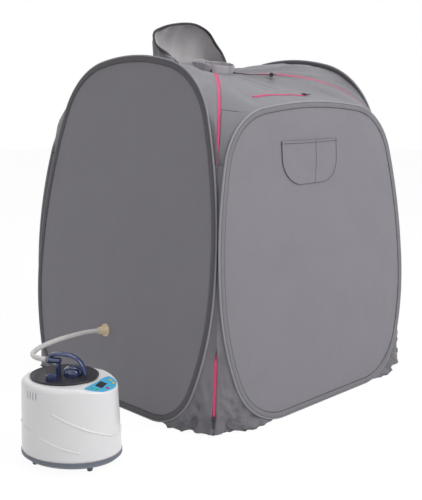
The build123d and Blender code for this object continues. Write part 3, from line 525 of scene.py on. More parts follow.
for side, (outline, plane, body) in PANELS.items():
    band = sleeve(side)
    fit_out(band, body, "binding", f"{side}_hoop_sleeve")
    round_it = outline.around(200)[2]
    cloth = wall(side)
    size = cloth_area(cloth)
    thicken(cloth, QUILT, 0.0)
    fit_out(cloth, body, "wall_cloth", f"{side}_panel")
    2 * outline.place(90)[0]

strip_steel = plain_finish("blued_spring_steel", (0.10, 0.10, 0.13), (0.30, 0.30, 0.34), 20.0,
                           3.0, (0.30, 0.15), 0.0001, Metallic=1.0)


def give(finish, *nodes):
    """Gives CAD nodes a finish of their own."""
    for node in nodes:
        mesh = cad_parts[node].data
        mesh.materials.clear()
        mesh.materials.append(finish)


give(strip_steel, *(f"{side}_hoop" for side in PANELS))

# ---- roof, flap and corner cloth ---------------------------------------------
# One layer of lighter nylon, sewn just inside each sleeve and round the neck opening.
# It is cut loose, so it lies in soft folds that run from the neck to the hoops.
NECK_CENTRE = np.array((0.0, 0.030, 0.957))
NECK_TILT = math.radians(9.5)
NECK_HOLE = 0.066
RIM_INSET = 0.004
SEAM = -0.0004
CORNER_TURN = 104.5
LOW_TURN = 87.0
ACROSS_ZIP = np.array((1.0, -1.0, 0.0)) / math.sqrt(2)
ZIP_BEARING = 225.0
ZIP_CLOTH_GAP = 0.0044
ROOF_TUCK = 0.011
ZIP_LEAN = 0.013


def ramp(value, start, end):
    """0 at start, 1 at end, and level beyond them."""
    return np.clip((value - start) / (end - start), 0, 1)


def neck_place(bearing, radius=NECK_HOLE, height=0.0):
    a = math.radians(bearing)
    back = np.array((0, math.cos(NECK_TILT), math.sin(NECK_TILT)))
    up = np.array((0, -math.sin(NECK_TILT), math.cos(NECK_TILT)))
    return (NECK_CENTRE + np.array((radius * math.cos(a), 0, 0)) + back * radius * math.sin(a)
            + up * height)


def rim_place(side, turn, rear=False, tuck=0.0):
    """Seam on the left half of a hoop, the left panel's or the front panel's.  The roof
    is sewn deeper in over the top, where tuck is how much."""
    outline, plane, _ = PANELS[side]
    u, h = outline.place(turn, RIM_INSET + tuck * float(ramp(turn, 112, 142)))
    place = plane.at(u if side == "left" else -u, h, -SLEEVE_HALF - SEAM)
    return place * (1, -1, 1) if rear else place


def corner_place(height):
    side, front = (offset - height * math.tan(math.radians(lean)) - 0.015
                   for offset, lean in ((SIDE_OFFSET, SIDE_LEAN), (FRONT_OFFSET, FRONT_LEAN)))
    return np.array((-side, -front, height))


def bowed(start, end, share, bow=2.8):
    """Cloth pulled over to a lower end: flat at first, then falling away."""
    place = start + (end - start) * share
    if end[2] <= start[2]:
        place[2] = end[2] + (start[2] - end[2]) * math.sqrt(max(0.0, 1 - share ** bow))
    return place


CORNER_TOP, CORNER_LOW = (corner_place(SIDE.place(turn)[1] * math.cos(math.radians(SIDE_LEAN)))
                          for turn in (CORNER_TURN, LOW_TURN))
CORNER_FOOT = np.array((-0.428, -0.403, 0.014))


def zip_place(share):
    """Left zip, from the neck at 0 to the top of the corner at 1, where it leans on the hoop."""
    return bowed(neck_place(ZIP_BEARING), CORNER_TOP, share) - ACROSS_ZIP * ZIP_LEAN * share ** 6


def corner_line(share):
    """Left zip from the top of the corner at 0 to where the hoops part at 1."""
    return (CORNER_TOP + (CORNER_LOW - CORNER_TOP) * share
            - ACROSS_ZIP * ZIP_LEAN * (1 - share) ** 1.5)


def cloth_gap(share):
    """Half the width of zip that shows over the roof; it narrows into the corner."""
    return ZIP_CLOTH_GAP * (1 - 0.85 * float(ramp(share, 0.975, 1.0)))


def dense(stations, steps):
    """Stations of equal-length values, with steps even ones between each pair."""
    stations = [np.atleast_1d(np.asarray(s, float)) for s in stations]
    line = []
    for a, b in zip(stations, stations[1:]):
        line += [a + (b - a) * k / steps for k in range(steps)]
    return line + [stations[-1]]


def roof_left(steps=7, depth=26):
    """Columns of the roof's left half, from the front zip round to the middle of the back."""
    columns = []
    for share, turn in dense(((1.0, CORNER_TURN), (0.95, 110), (0.88, 118), (0.77, 128),
                              (0.59, 139), (0.39, 150), (0.2, 159)), steps):
        columns.append((zip_place(share) - ACROSS_ZIP * cloth_gap(share),
                        rim_place("left", turn, tuck=ROOF_TUCK), 0.0))
    for bearing, turn in dense(((217, 167), (200, 174), (180, 180)), steps):
        columns.append((neck_place(bearing), rim_place("left", turn, tuck=ROOF_TUCK), 1.0))
    for bearing, turn in dense(((180, 180), (168, 170), (157, 155), (148, 138), (141, 120),
                                (137, CORNER_TURN)), steps)[1:]:
        columns.append((neck_place(bearing), rim_place("left", turn, True, ROOF_TUCK), 1.0))
    for bearing, turn in dense(((133, CORNER_TURN), (127, 135), (120, 155), (112, 168),
                                (101, 175), (90, 180)), steps):
        columns.append((neck_place(bearing), rim_place("front", turn, True, ROOF_TUCK), 1.0))
    shares = np.linspace(0, 1, depth)
    grid = []
    for inner, outer, bow in columns:
        straight = inner + (outer - inner) * shares[:, None]
        over = np.array([bowed(inner, outer, f) for f in shares])
        grid.append(straight * (1 - bow) + over * bow)
    return np.array(grid).transpose(1, 0, 2)


def even_cut(piece, rows):
    """Rectangle as long as a tapered cloth's longer side, and of the same area."""
    runs = [np.linalg.norm(np.diff(rows, axis=axis), axis=2).sum(axis).max() for axis in (1, 0)]
    return cloth_area(piece) / max(runs), float(max(runs))


def both_halves(left):
    """A left half with its mirror image added; the last column is on the middle line."""
    right = left[:, -2::-1] * (-1, 1, 1)
    return np.concatenate((left, right), axis=1)


def normals_of(rows, outwards):
    across, along = np.gradient(rows, axis=1), np.gradient(rows, axis=0)
    normal = np.cross(across, along)
    normal /= np.maximum(np.linalg.norm(normal, axis=2), 1e-9)[..., None]
    turned = ((rows - np.asarray(outwards)) * normal).sum(2) < 0
    normal[turned] *= -1
    return normal


def folded(rows, depth, size, seed, free=0.12):
    """Cloth with soft folds, which die out towards the seams at its first and last rows and
    where those come close together."""
    count = len(rows)
    share = np.linspace(0, 1, count)[:, None]
    hold = ramp(share, 0, free) * ramp(share, 1, 1 - free)
    hold = hold * ramp(np.linalg.norm(rows[-1] - rows[0], axis=1), 0, 0.13)[None]
    bearing = np.arctan2(rows[..., 1] - NECK_CENTRE[1], rows[..., 0]) * 0.34
    fan = ripple(np.stack((bearing, share * 0.06 + 0 * bearing), 2), size, seed)
    soft = ripple(rows, 0.11, seed + 3)
    lift = depth * (0.75 * fan + 0.55 * soft) * hold
    return rows + normals_of(rows, CABIN_MIDDLE) * lift[..., None]


roof_nylon = nylon("grey_roof_nylon", (0.163, 0.159, 0.179), (0.216, 0.210, 0.234))
roof_rows = folded(both_halves(roof_left()), 0.0100, 0.034, 1)
roof = grid_mesh("roof", roof_rows, roof_nylon, outwards=CABIN_MIDDLE)
thicken(roof)
fit_out(roof, "cabin", "roof_cloth", "roof_cloth")
# The roof is one ring of cloth, so its cut is as wide and as deep as it lies, plus its two drops.
drop = roof_rows[0, :, 2].max() - roof_rows[-1, :, 2].min()
spread = np.ptp(roof_rows.reshape(-1, 3), axis=0)
spread[1] + 2 * drop


def between_lines(columns, depth):
    inner, outer = (np.array([column[k] for column in columns]) for k in (0, 1))
    return inner + (outer - inner) * np.linspace(0, 1, depth)[:, None, None]


def lay_cloth(name, rows, finish, body, slot, node, wall=CLOTH, outwards=CABIN_MIDDLE):
    """A tapered cloth, fitted out, and the rectangle that its flat size is given as."""
    piece = grid_mesh(name, rows, finish, outwards=outwards)
    cut = even_cut(piece, rows)
    thicken(piece, wall)
    fit_out(piece, body, slot, node)
    return piece, cut


def flap_left(steps=8, depth=24):
    columns = []
    for share, turn in dense(((0.865, 158.5), (0.77, 163), (0.59, 167), (0.39, 170),
                              (0.2, 173)), steps):
        columns.append((zip_place(share) + ACROSS_ZIP * cloth_gap(share),
                        rim_place("front", turn)))
    for bearing, turn in dense(((233, 175.5), (251, 178), (270, 180)), steps):
        columns.append((neck_place(bearing), rim_place("front", turn)))
    return between_lines(columns, depth)


flap_rows = folded(both_halves(flap_left()), 0.0055, 0.05, 5, 0.2)
front_roof, cut = lay_cloth("roof_front", flap_rows, roof_nylon, "flap", "roof_cloth",
                            "roof_flap")


def mirrored_pair(name, rows, finish, slot, body, node_left, node_right):
    """A cloth and its mirror image, on the left and the right."""
    for side, way, node in (("left", 1, node_left), ("right", -1, node_right)):
        piece, cut = lay_cloth(f"{name}_{side}", rows * (way, 1, 1), finish, body, slot, node)


shoulder_rows = between_lines([
    (zip_place(share) + ACROSS_ZIP * cloth_gap(share), rim_place("front", turn))
    for share, turn in dense(((0.8675, 158.2), (0.95, 140), (1.0, CORNER_TURN)), 12)], 12)
mirrored_pair("door_corner", folded(shoulder_rows, 0.0016, 0.03, 8), roof_nylon, "roof_cloth",
              "door", "door_shoulder_left", "door_shoulder_right")

LOW_STATIONS = ((0.0, LOW_TURN), (0.22, 81), (0.42, 76), (0.63, 70), (0.8, 50), (0.93, 30),
                (1.0, 12))


def turn_at(side, height):
    """Turn of a hoop's outline at which its seam is at a height."""
    turns = np.linspace(70, 130, 241)
    return float(np.interp(height, [rim_place(side, turn)[2] for turn in turns], turns))


def foot_cloth(side, sign, depth=16):
    """Cloth between a front corner's zip and a hoop.  It closes over the zip where the
    hoops meet, and is ruffled near the floor where they part."""
    columns, overlap = [], []
    for share in np.linspace(0, 1, 40)[:-1]:
        line = corner_line(share)
        closed = min(1.0, share / 0.06)
        overlap.append(closed * (0.0036 + 0.0064 * float(ramp(share, 0.5, 1.0))))
        gap = cloth_gap(1.0) * (1 - closed)
        columns.append((line + sign * ACROSS_ZIP * gap, rim_place(side, turn_at(side, line[2]))))
    for share, turn in dense(LOW_STATIONS, 9):
        line = CORNER_LOW + (CORNER_FOOT - CORNER_LOW) * share
        parted = ramp(share, 0.27, 0.39)
        overlap.append((1 - float(parted)) * 0.0100)
        gap = ZIP_CLOTH_GAP * parted * ramp(line[2], 0.044, 0.056) + 0.0001 * share
        turn = turn if share > 0.2 else turn_at(side, line[2])
        columns.append((line + sign * ACROSS_ZIP * gap, rim_place(side, turn)))
    rows = between_lines(columns, depth)
    share = np.linspace(0, 1, depth)[:, None]
    over = np.array(overlap)[None] * (1 - share) ** 1.6
    rows = rows + np.array((-0.707, -0.707, 0.0)) * over[..., None]
    low = ramp(rows[..., 2], 0.20, 0.0) ** 1.2
    ridge = 1 - 2 * np.abs(ripple(rows * (1, 1, 0.30), 0.021, 11.0))
    crease = 1 - 2 * np.abs(ripple(rows * (1, 1, 0.8), 0.030, 29.0))
    wave = (0.0125 * ridge + 0.0095 * crease + 0.0080 * ripple(rows, 0.050, 17.0)) * low
    middle = np.sin(np.linspace(0.12, 0.95 * math.pi, depth))[:, None]
    rows = rows + normals_of(rows, CABIN_MIDDLE) * (wave * middle + 0.0009)[..., None]
    hem = ramp(rows[..., 2], 0.035, 0.005) * ramp(share, 1.0, 0.8)
    rows[..., 2] = np.maximum(rows[..., 2] - 0.012 * hem + 0.0035 * hem * ridge, 0.0012)
    rows[..., :2] *= (1 + 0.016 * hem)[..., None]
    return rows


# The corners are the roof's nylon; this copy has its uneven dye and crease colour pushed darker and
# lighter, painted shade and painted light in the folds of the corners.
corner_nylon_painted_shade = nylon("gusset_nylon_painted_shade", (0.125, 0.119, 0.136), (0.240, 0.231, 0.256), 0.0020)
mirrored_pair("corner_foot", foot_cloth("left", -1), corner_nylon_painted_shade, "wall_cloth",
              "cabin", "front_left_gusset", "front_right_gusset")
mirrored_pair("door_foot", foot_cloth("front", 1), corner_nylon_painted_shade, "wall_cloth",
              "door", "door_gusset_left", "door_gusset_right")


def rear_corner(depth=21):
    """The back corners have no zip: one strip from the roof to the floor, wide at its foot."""
    columns = []
    for share in np.linspace(0, 1, 14)[:-1]:
        line = CORNER_TOP + (CORNER_LOW - CORNER_TOP) * share
        columns.append((rim_place("left", turn_at("left", line[2])), line,
                        rim_place("front", turn_at("front", line[2]))))
    for share, turn in dense(LOW_STATIONS, 8):
        line = CORNER_LOW + (CORNER_FOOT - CORNER_LOW) * share
        low, front = (turn if share > 0.2 else turn_at(side, line[2]) for side in ("left", "front"))
        columns.append((rim_place("left", low), line, rim_place("front", front)))
    a, b, c = (np.array([column[k] for column in columns]) for k in range(3))
    rows = np.array([a + (b - a) * 2 * share if share <= 0.5 else b + (c - b) * (2 * share - 1)
                     for share in np.linspace(0, 1, depth)])
    low = ramp(rows[..., 2], 0.20, 0.0) ** 1.4
    wave = ripple(rows * (1, 1, 0.4), 0.022, 14.0) * 0.005 * low
    hold = np.sin(np.linspace(0, math.pi, depth))[:, None]
    rows = rows + normals_of(rows, CABIN_MIDDLE) * (wave * hold)[..., None]
    hem = ramp(rows[..., 2], 0.035, 0.005)
    rows[..., 2] = np.maximum(rows[..., 2] - 0.012 * hem, 0.0012)
    return rows * (1, -1, 1)


mirrored_pair("rear_corner", rear_corner(), corner_nylon_painted_shade, "wall_cloth", "cabin",
              "rear_left_gusset", "rear_right_gusset")

# ---- ground sheet ------------------------------------------------------------
# Coated dark polyester laid inside the feet of the four walls, cut across the corners.
# Along the sides and the back its edge turns up against the feet of the walls.
SHEET_WALL = 0.0008
SHEET_SIDE, SHEET_FRONT = 0.462, 0.437

ground_cloth, wires = blank_finish("coated_ground_cloth")
scuff = wires.noise(14.0, 4.0)
weave = wires.make("ShaderNodeTexChecker", None, {
    "Vector": wires.make("ShaderNodeTexCoord", out="Object"), "Scale": 900.0}, 1)
shade_with(wires, {"Base Color": wires.tint(scuff, (0.090, 0.088, 0.098), (0.150, 0.146, 0.16)),
                   "Roughness": 0.50 + 0.2 * scuff}, scuff + 0.2 * weave, 0.0006)
quarter = ((SHEET_SIDE, 0.208), (0.427, 0.402), (0.198, SHEET_FRONT))
edge = np.array([(sx * x, sy * y, 0.0018) for sx, sy in ((1, 1), (-1, 1), (-1, -1), (1, -1))
                 for x, y in (quarter if sx * sy > 0 else quarter[::-1])])
edge = np.array(dense([*edge, edge[0]], 8))
behind = edge[:, 1] > -0.15
edge[behind] += edge[behind] * (0.010, 0.016, 0) + (0, 0, 0.0050)
shares = np.linspace(1, 0.0, 30)[:, None, None]
rows = edge[None] * shares
turned_up = 0.8 * rows[..., 2] * ramp(shares[..., 0], 0.97, 1.0)
uneven = 0.0006 * (1 + ripple(rows[..., :2], 0.09, 3.0)) * np.minimum(1, 4 * (1 - shares[..., 0]))
rows[..., 2] = 0.0012 + turned_up + uneven
ground_sheet = grid_mesh("ground_sheet", rows, ground_cloth, outwards=(0, 0, -1))
size = cloth_area(ground_sheet)
thicken(ground_sheet, SHEET_WALL)
fit_out(ground_sheet, "cabin", "ground_cloth", "floor_sheet")

# ---- zips --------------------------------------------------------------------
# Pink coil zips on woven tapes.  The two long ones run from the neck, over the roof and
# down the front corners, and let the front open; the short one on the flap is for a hand.
PINK_DARK = (0.78, 0.045, 0.190)
PINK_LIGHT = (1.00, 0.135, 0.360)
TAPE_HALF, TAPE_FOLDED = 0.008, 0.0028
TAPE_WALL, HAND_TAPE_WALL = 0.0008, 0.0006
HAND_ZIP_Y = -0.292
COIL_PITCH = 0.0022

zip_tape_cloth, wires = blank_finish("pink_zip_tape")
cut = wires.make("ShaderNodeUVMap", {"uv_map": "cut"})
herring = wires.make("ShaderNodeTexWave", {"bands_direction": "X", "wave_profile": "SAW"},
                     {"Vector": cut, "Scale": 260.0, "Distortion": 0.3})
fade = wires.noise(45.0)
shade_with(wires, {"Base Color": wires.tint(0.45 * herring + 0.55 * fade, PINK_DARK, PINK_LIGHT),
                   "Roughness": 0.60 + 0.1 * fade, "Sheen Weight": 0.3}, herring, 0.0004, 0.6)
zip_coil = plain_finish("pink_zip_coil", (0.80, 0.060, 0.220), (1.00, 0.190, 0.430), 300.0, 2.0,
                        (0.30, 0.2), 0.0001, Coat_Weight=0.2)


def tape_rows(line, way, half, columns=5):
    """Tape either side of a line, as wide as half says at each place on it."""
    across = np.linspace(-1, 1, columns)[:, None, None] * np.asarray(half)[None, :, None]
    return np.asarray(line)[None] + np.asarray(way) * across


def coil_tree(finish):
    """Geometry Nodes: one tooth, or stitch, repeated along a line."""
    tree = bpy.data.node_groups.new("zip_coil", "GeometryNodeTree")
    for title, kind, value in (
            ("Line", "Geometry", None), ("Pitch", "Float", COIL_PITCH), ("Width", "Float", 0.0052),
            ("Thickness", "Float", 0.0011), ("Length", "Float", 0.0011),
            ("Across", "Vector", None)):
        socket = tree.interface.new_socket(title, in_out="INPUT", socket_type="NodeSocket" + kind)
        if value:
            socket.default_value = value
    tree.interface.new_socket("Teeth", in_out="OUTPUT", socket_type="NodeSocketGeometry")
    node = {name: tree.nodes.new(kind) for name, kind in {
        "start": "NodeGroupInput", "end": "NodeGroupOutput",
        "curve": "GeometryNodeMeshToCurve", "spread": "GeometryNodeCurveToPoints",
        "size": "ShaderNodeCombineXYZ", "tooth": "GeometryNodeMeshCube",
        "turn": "FunctionNodeAlignRotationToVector", "place": "GeometryNodeInstanceOnPoints",
        "real": "GeometryNodeRealizeInstances", "paint": "GeometryNodeSetMaterial"}.items()}
    node["spread"].mode = "LENGTH"
    node["turn"].axis, node["turn"].pivot_axis = "Y", "Z"
    node["paint"].inputs["Material"].default_value = finish
    for giver, out, taker, into in (
            ("start", "Line", "curve", "Mesh"), ("curve", "Curve", "spread", "Curve"),
            ("start", "Pitch", "spread", "Length"), ("start", "Thickness", "size", "X"),
            ("start", "Width", "size", "Y"), ("start", "Length", "size", "Z"),
            ("size", 0, "tooth", "Size"), ("spread", "Points", "place", "Points"),
            ("spread", "Rotation", "turn", "Rotation"), ("start", "Across", "turn", "Vector"),
            ("turn", 0, "place", "Rotation"), ("tooth", "Mesh", "place", "Instance"),
            ("place", "Instances", "real", "Geometry"), ("real", "Geometry", "paint", "Geometry"),
            ("paint", "Geometry", "end", "Teeth")):
        tree.links.new(node[giver].outputs[out], node[taker].inputs[into])
    return tree


def grown(name, line, tree, body, slot, **sizes):
    """A plain mesh of what a Geometry Nodes tree grows along a line."""
    mesh = bpy.data.meshes.new(name + "_line")
    mesh.from_pydata([tuple(p) for p in line], [(k, k + 1) for k in range(len(line) - 1)], [])
    seed = bpy.data.objects.new(name + "_line", mesh)
    bpy.context.collection.objects.link(seed)
    modifier = seed.modifiers.new("grow", "NODES")
    modifier.node_group = tree
    for item in tree.interface.items_tree:
        if item.in_out == "INPUT" and item.name in sizes:
            modifier[item.identifier] = sizes[item.name]
    bpy.context.view_layer.update()
    shape = seed.evaluated_get(bpy.context.evaluated_depsgraph_get())
    done = bpy.data.meshes.new_from_object(shape)
    seed.modifiers.remove(modifier)
    bpy.data.objects.remove(seed)
    piece = bpy.data.objects.new(name, done)
    bpy.context.collection.objects.link(piece)
    fit_out(piece, body, slot)
    return piece


coils = coil_tree(zip_coil)
line = [zip_place(f) for f in np.linspace(0.03, 1, 90)]
line += [corner_line(f) for f in np.linspace(0, 1, 30)[1:]]
line += [CORNER_LOW + (CORNER_FOOT - CORNER_LOW) * f for f in np.linspace(0, 0.90, 40)[1:]]
line = np.array(line)
# The tape is folded narrower where it runs between the hoops, and the right one has
# rolled a little on its side over the roof.
narrow = np.interp(np.arange(len(line)), (76, 88, 118, 134, 150, 157), (0, 1, 1, 0, 0, 1))
roll = np.interp(np.arange(len(line)), (6, 26, 66, 84), (0, 1, 1, 0))
for side, turn in (("left", (1, 1, 1)), ("right", (-1, 1, 1))):
    rows = tape_rows(line, ACROSS_ZIP, TAPE_HALF - (TAPE_HALF - TAPE_FOLDED) * narrow) * turn
    rows = rows - normals_of(rows, CABIN_MIDDLE) * 0.0016
    if side == "right":
        rows[..., 2] += 0.0042 * roll[None] * np.linspace(1, 0.1, len(rows))[:, None]
    tape, cut = lay_cloth(f"{side}_long_zip", rows, zip_tape_cloth, "cabin", "zip_tape",
                          f"{side}_zip_tape", TAPE_WALL)
    raised = rows[2] + normals_of(rows, CABIN_MIDDLE)[2] * TAPE_WALL
    teeth = grown(f"{side}_zip_teeth", raised, coils, "cabin", "zip_tape",
                  Across=tuple(ACROSS_ZIP * turn))


def on_flap(x, y, lift):
    """Places over the front of the roof, a little above its cloth."""
    crossed = [[np.interp(-y, -column[:, 1], column[:, k]) for k in (0, 2)]
               for column in flap_rows.transpose(1, 0, 2)
               if column[-1, 1] < y < column[0, 1]]
    xs, zs = np.array(crossed).T
    return np.array((x, y, np.interp(x, xs, zs) + lift))


hand_line = np.array([on_flap(x, HAND_ZIP_Y, 0.0016) for x in np.linspace(-0.162, 0.070, 80)])
hand_line[1:-1, 2] = (hand_line[:-2, 2] + hand_line[1:-1, 2] * 2 + hand_line[2:, 2]) / 4
rows = np.array([[on_flap(p[0], HAND_ZIP_Y + dy, 0.0012) for p in hand_line]
                 for dy in np.linspace(-0.0050, 0.0050, 5)])
hand_tape, cut = lay_cloth("hand_zip", rows, zip_tape_cloth, "flap", "zip_tape",
                           "hand_zip_tape", HAND_TAPE_WALL)
teeth = grown("hand_zip_teeth", hand_line, coils, "flap", "zip_tape", Across=(0.0, 1.0, 0.0))

zip_metal = plain_finish("black_zip_metal", (0.018, 0.018, 0.020), (0.07, 0.07, 0.075), 220.0,
                         3.0, (0.32, 0.2), 0.0001, Metallic=0.8, Coat_Weight=0.3)
give(zip_metal, *(f"{which}_zip_{part}" for which in ("left", "right", "hand")
                  for part in ("slider", "pull")))

# ---- neck collar -------------------------------------------------------------
# A short upright band of roof nylon round the neck opening, pleated where the drawcord
# gathers its hem.  The front of it is a separate band, because it opens with the flap.
COLLAR_HEIGHT, COLLAR_SUNK, COLLAR_RADIUS = 0.025, 0.004, 0.0632
PLEATS_PER_RADIAN = 5.2


def collar_rows(first, last, lean, seed, rows=12):
    """Pleated band between two bearings, its hem turned over a little at the top."""
    bearings = np.linspace(first, last, int(abs(last - first) * 1.1) + 2)
    pleat = np.radians(bearings) * PLEATS_PER_RADIAN
    wander = ripple(np.stack((np.radians(bearings), 0 * bearings), 1), 0.55, seed)
    grid = []
    for share in np.linspace(0, 1, rows):
        row = []
        for bearing, beat, drift in zip(bearings, pleat + 1.5 * wander, wander):
            deep = 0.0004 + 0.0052 * share
            radius = COLLAR_RADIUS + lean * share + 0.0020 * drift * share
            radius += deep * (1 - 1.6 * abs(math.sin(beat / 2)) ** 0.7
                              + 0.10 * math.sin(3.1 * beat))
            top = COLLAR_HEIGHT * (1 + 0.10 * drift)
            row.append(neck_place(bearing, radius, (top + COLLAR_SUNK) * share - COLLAR_SUNK))
        grid.append(row)
    return np.array(grid)


# The collar is roof nylon; this copy is painted more than twice as light, painted light standing in
# for what the shade of its own pleats takes away.
collar_nylon_painted_light = nylon("collar_band_painted_light", (0.420, 0.410, 0.440), (0.540, 0.527, 0.565))
for name, node, body, first, last, lean, seed in (
        ("collar_round", "neck_collar", "cabin", -38, 218, 0.003, 2),
        ("collar_band", "collar_front", "flap", 222, 318, 0.006, 9)):
    band, cut = lay_cloth(name, collar_rows(first, last, lean, seed), collar_nylon_painted_light, body,
                          "roof_cloth", node, outwards=NECK_CENTRE + (0, 0, 0.01))

# ---- hood --------------------------------------------------------------------
# Floppy bonnet of the same nylon that stands behind the head.  Its mouth is edged with a
# dark binding; its other edge is sewn to the roof behind the neck, and it lies in folds.
MOUTH = ((-0.146, 0.030, 0.986), (-0.168, 0.052, 1.003), (-0.178, 0.078, 1.020),
         (-0.176, 0.103, 1.043), (-0.165, 0.117, 1.068), (-0.138, 0.120, 1.083),
         (-0.095, 0.120, 1.095), (-0.042, 0.120, 1.102), (0.012, 0.120, 1.101),
         (0.062, 0.117, 1.080), (0.086, 0.105, 1.042), (0.090, 0.078, 1.010),
         (0.084, 0.048, 0.979))
HOOD_MIDDLE = np.array((-0.03, 0.10, 1.0))
BASE_CENTRE = (-0.012, 0.030)
REACH_LEFT, REACH_RIGHT, REACH_BACK = 0.170, 0.142, 0.190
HOOD_COLUMNS, HOOD_ROWS = 120, 40
BASE_TURNS = ((0.0, 187), (0.1, 162), (0.2, 142), (0.35, 122), (0.6, 85), (1.0, 10))


def spline(points, count):
    """Even places on a smooth curve through the points."""
    points = np.asarray(points, float)
    ends = np.concatenate((2 * points[:1] - points[1:2], points, 2 * points[-1:] - points[-2:-1]))
    line = []
    for a, b, c, d in zip(ends, ends[1:], ends[2:], ends[3:]):
        for t in np.linspace(0, 1, 24, endpoint=False):
            line.append(0.5 * (2 * b + (c - a) * t + (2 * a - 5 * b + 4 * c - d) * t ** 2
                               + (3 * b - a - 3 * c + d) * t ** 3))
    line = np.array([*line, points[-1]])
    run = np.concatenate(([0.0], np.cumsum(np.linalg.norm(np.diff(line, axis=0), axis=1))))
    stops = np.linspace(0, run[-1], count)
    return np.stack([np.interp(stops, run, line[:, k]) for k in range(3)], 1)


def roof_height(x, y):
    near = roof_rows.reshape(-1, 3)
    apart = ((near[:, :2] - (x, y)) ** 2).sum(1)
    pick = np.argsort(apart)[:6]
    weight = 1 / (apart[pick] + 1e-7)
    return float((near[pick, 2] * weight).sum() / weight.sum())


# Both ends of the mouth come down to the roof.
ends = [(x, y, roof_height(x, y) + 0.005) for x, y, _ in (MOUTH[0], MOUTH[-1])]
mouth = spline((ends[0], *MOUTH[1:-1], ends[1]), HOOD_COLUMNS)
turns = np.radians(np.interp(np.linspace(0, 1, HOOD_COLUMNS), *np.array(BASE_TURNS).T))
turns = np.convolve(np.pad(turns, 9, "reflect", reflect_type="odd"), np.ones(19) / 19, "valid")
foot = [(BASE_CENTRE[0] + (REACH_LEFT if math.cos(a) < 0 else REACH_RIGHT) * math.cos(a),
         BASE_CENTRE[1] + REACH_BACK * math.sin(a)) for a in turns]
foot = np.array([(x, y, roof_height(x, y) + 0.003) for x, y in foot])
rows = []
for share in np.linspace(0, 1, HOOD_ROWS):
    swing = math.radians(90 * share)
    row = mouth + (foot - mouth) * math.sin(swing)
    row[:, 2] = foot[:, 2] + (mouth[:, 2] - foot[:, 2]) * math.cos(swing)
    rows.append(row)
hood_rows = np.array(rows)
share = np.linspace(0, 1, HOOD_ROWS)[:, None]
along = np.linspace(0, 1, HOOD_COLUMNS)[None]
hold = ramp(share, 0, 0.15) * ramp(share, 1, 0.9)
fan = ripple(np.stack((along + 0 * share, share * 0.14 + 0 * along), 2), 0.085, 21.0)
slump = ripple(hood_rows, 0.07, 23.0)
lift = (0.0075 * fan + 0.0050 * slump) * hold
hood_rows = hood_rows + normals_of(hood_rows, HOOD_MIDDLE) * lift[..., None]
bonnet, cut = lay_cloth("bonnet", hood_rows, roof_nylon, None, "roof_cloth", "hood",
                        outwards=HOOD_MIDDLE)
# The bonnet is one layer of nylon: its inner face is painted pale, painted light standing in for
# the light that comes through the thin cloth.
bonnet_inner_face_painted_light = nylon("hood_inside_painted_light", (0.60, 0.575, 0.59), (0.78, 0.755, 0.77), 0.0018, 0.3)
bonnet.data.materials.append(bonnet_inner_face_painted_light)
bonnet.modifiers["wall"].material_offset = 1

edging, wires = blank_finish("dark_edging")
thread = wires.noise(120.0)
shade_with(wires, {"Base Color": wires.tint(thread, (0.016, 0.015, 0.019), (0.055, 0.052, 0.060)),
                   "Roughness": 0.62 + 0.1 * thread, "Sheen Weight": 0.2},
           thread + 0.3 * wires.wave(240.0), 0.0004)


def closed_mesh(name, rows, finish):
    """Grid mesh of a closed shape, its faces turned outwards."""
    piece = grid_mesh(name, rows, finish, True)
    points = np.array([v.co for v in piece.data.vertices])
    piece.data.calc_loop_triangles()
    a, b, c = (points[[t.vertices[k] for t in piece.data.loop_triangles]] for k in range(3))
    if (a * np.cross(b, c)).sum() < 0:
        piece.data.flip_normals()
    return piece


def swept(name, line, outward, half_width, half_depth, finish, sides=10):
    """Flat oval bar swept along a line, its wide way along each point's outward direction.
    Its two half sizes are the same all along, or one for each point."""
    way = np.gradient(line, axis=0)
    way /= np.linalg.norm(way, axis=1)[:, None]
    wide = outward - (outward * way).sum(1)[:, None] * way
    wide /= np.linalg.norm(wide, axis=1)[:, None]
    deep = np.cross(way, wide)
    a = np.linspace(0, 2 * math.pi, sides, endpoint=False)
    half_width, half_depth = (np.reshape(half, (-1, 1)) for half in (half_width, half_depth))
    rows = (line[:, None] + wide[:, None] * (half_width * np.cos(a))[..., None]
            + deep[:, None] * (half_depth * np.sin(a))[..., None])
    rows = np.concatenate((line[None, 0] + 0 * rows[:1], rows, line[None, -1] + 0 * rows[:1]))
    return closed_mesh(name, rows, finish)


forward = hood_rows[0] - hood_rows[3]
rim = swept("bonnet_edging", hood_rows[0], forward, 0.0056, 0.0036, edging)
fit_out(rim, None, "binding", "hood_rim")
inside = hood_rows - normals_of(hood_rows, HOOD_MIDDLE) * 0.0022
seam_line = [inside[int(1 + 13 * math.sin(min(1.0, 1.5 * t) * math.pi / 2)), int(47 - 34 * t)]
             for t in np.linspace(0, 1, 9)]
seam = swept("bonnet_seam", spline(seam_line, 60), np.array((0.5, 0.5, 0.7)), 0.0022, 0.0008,
             edging)
fit_out(seam, None, "binding")
# The hood's pieces have their placing baked into their meshes.
for piece in (bonnet, rim, seam):
    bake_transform(piece)

# ---- toggle on the drawcord --------------------------------------------------
# Moulded black barrel with a sprung button, gripping the drawcord where it lies on the
# roof flap.  Pressing the button lets the cord run through.
black_mould = plain_finish("black_moulding", (0.006, 0.006, 0.007), (0.020, 0.020, 0.022), 400.0,
                           3.0, (0.38, 0.15), 0.0002)
toggle = ("cord_lock_barrel", "cord_lock_plunger")
give(black_mould, *toggle)
laid_length(drawcord_end)

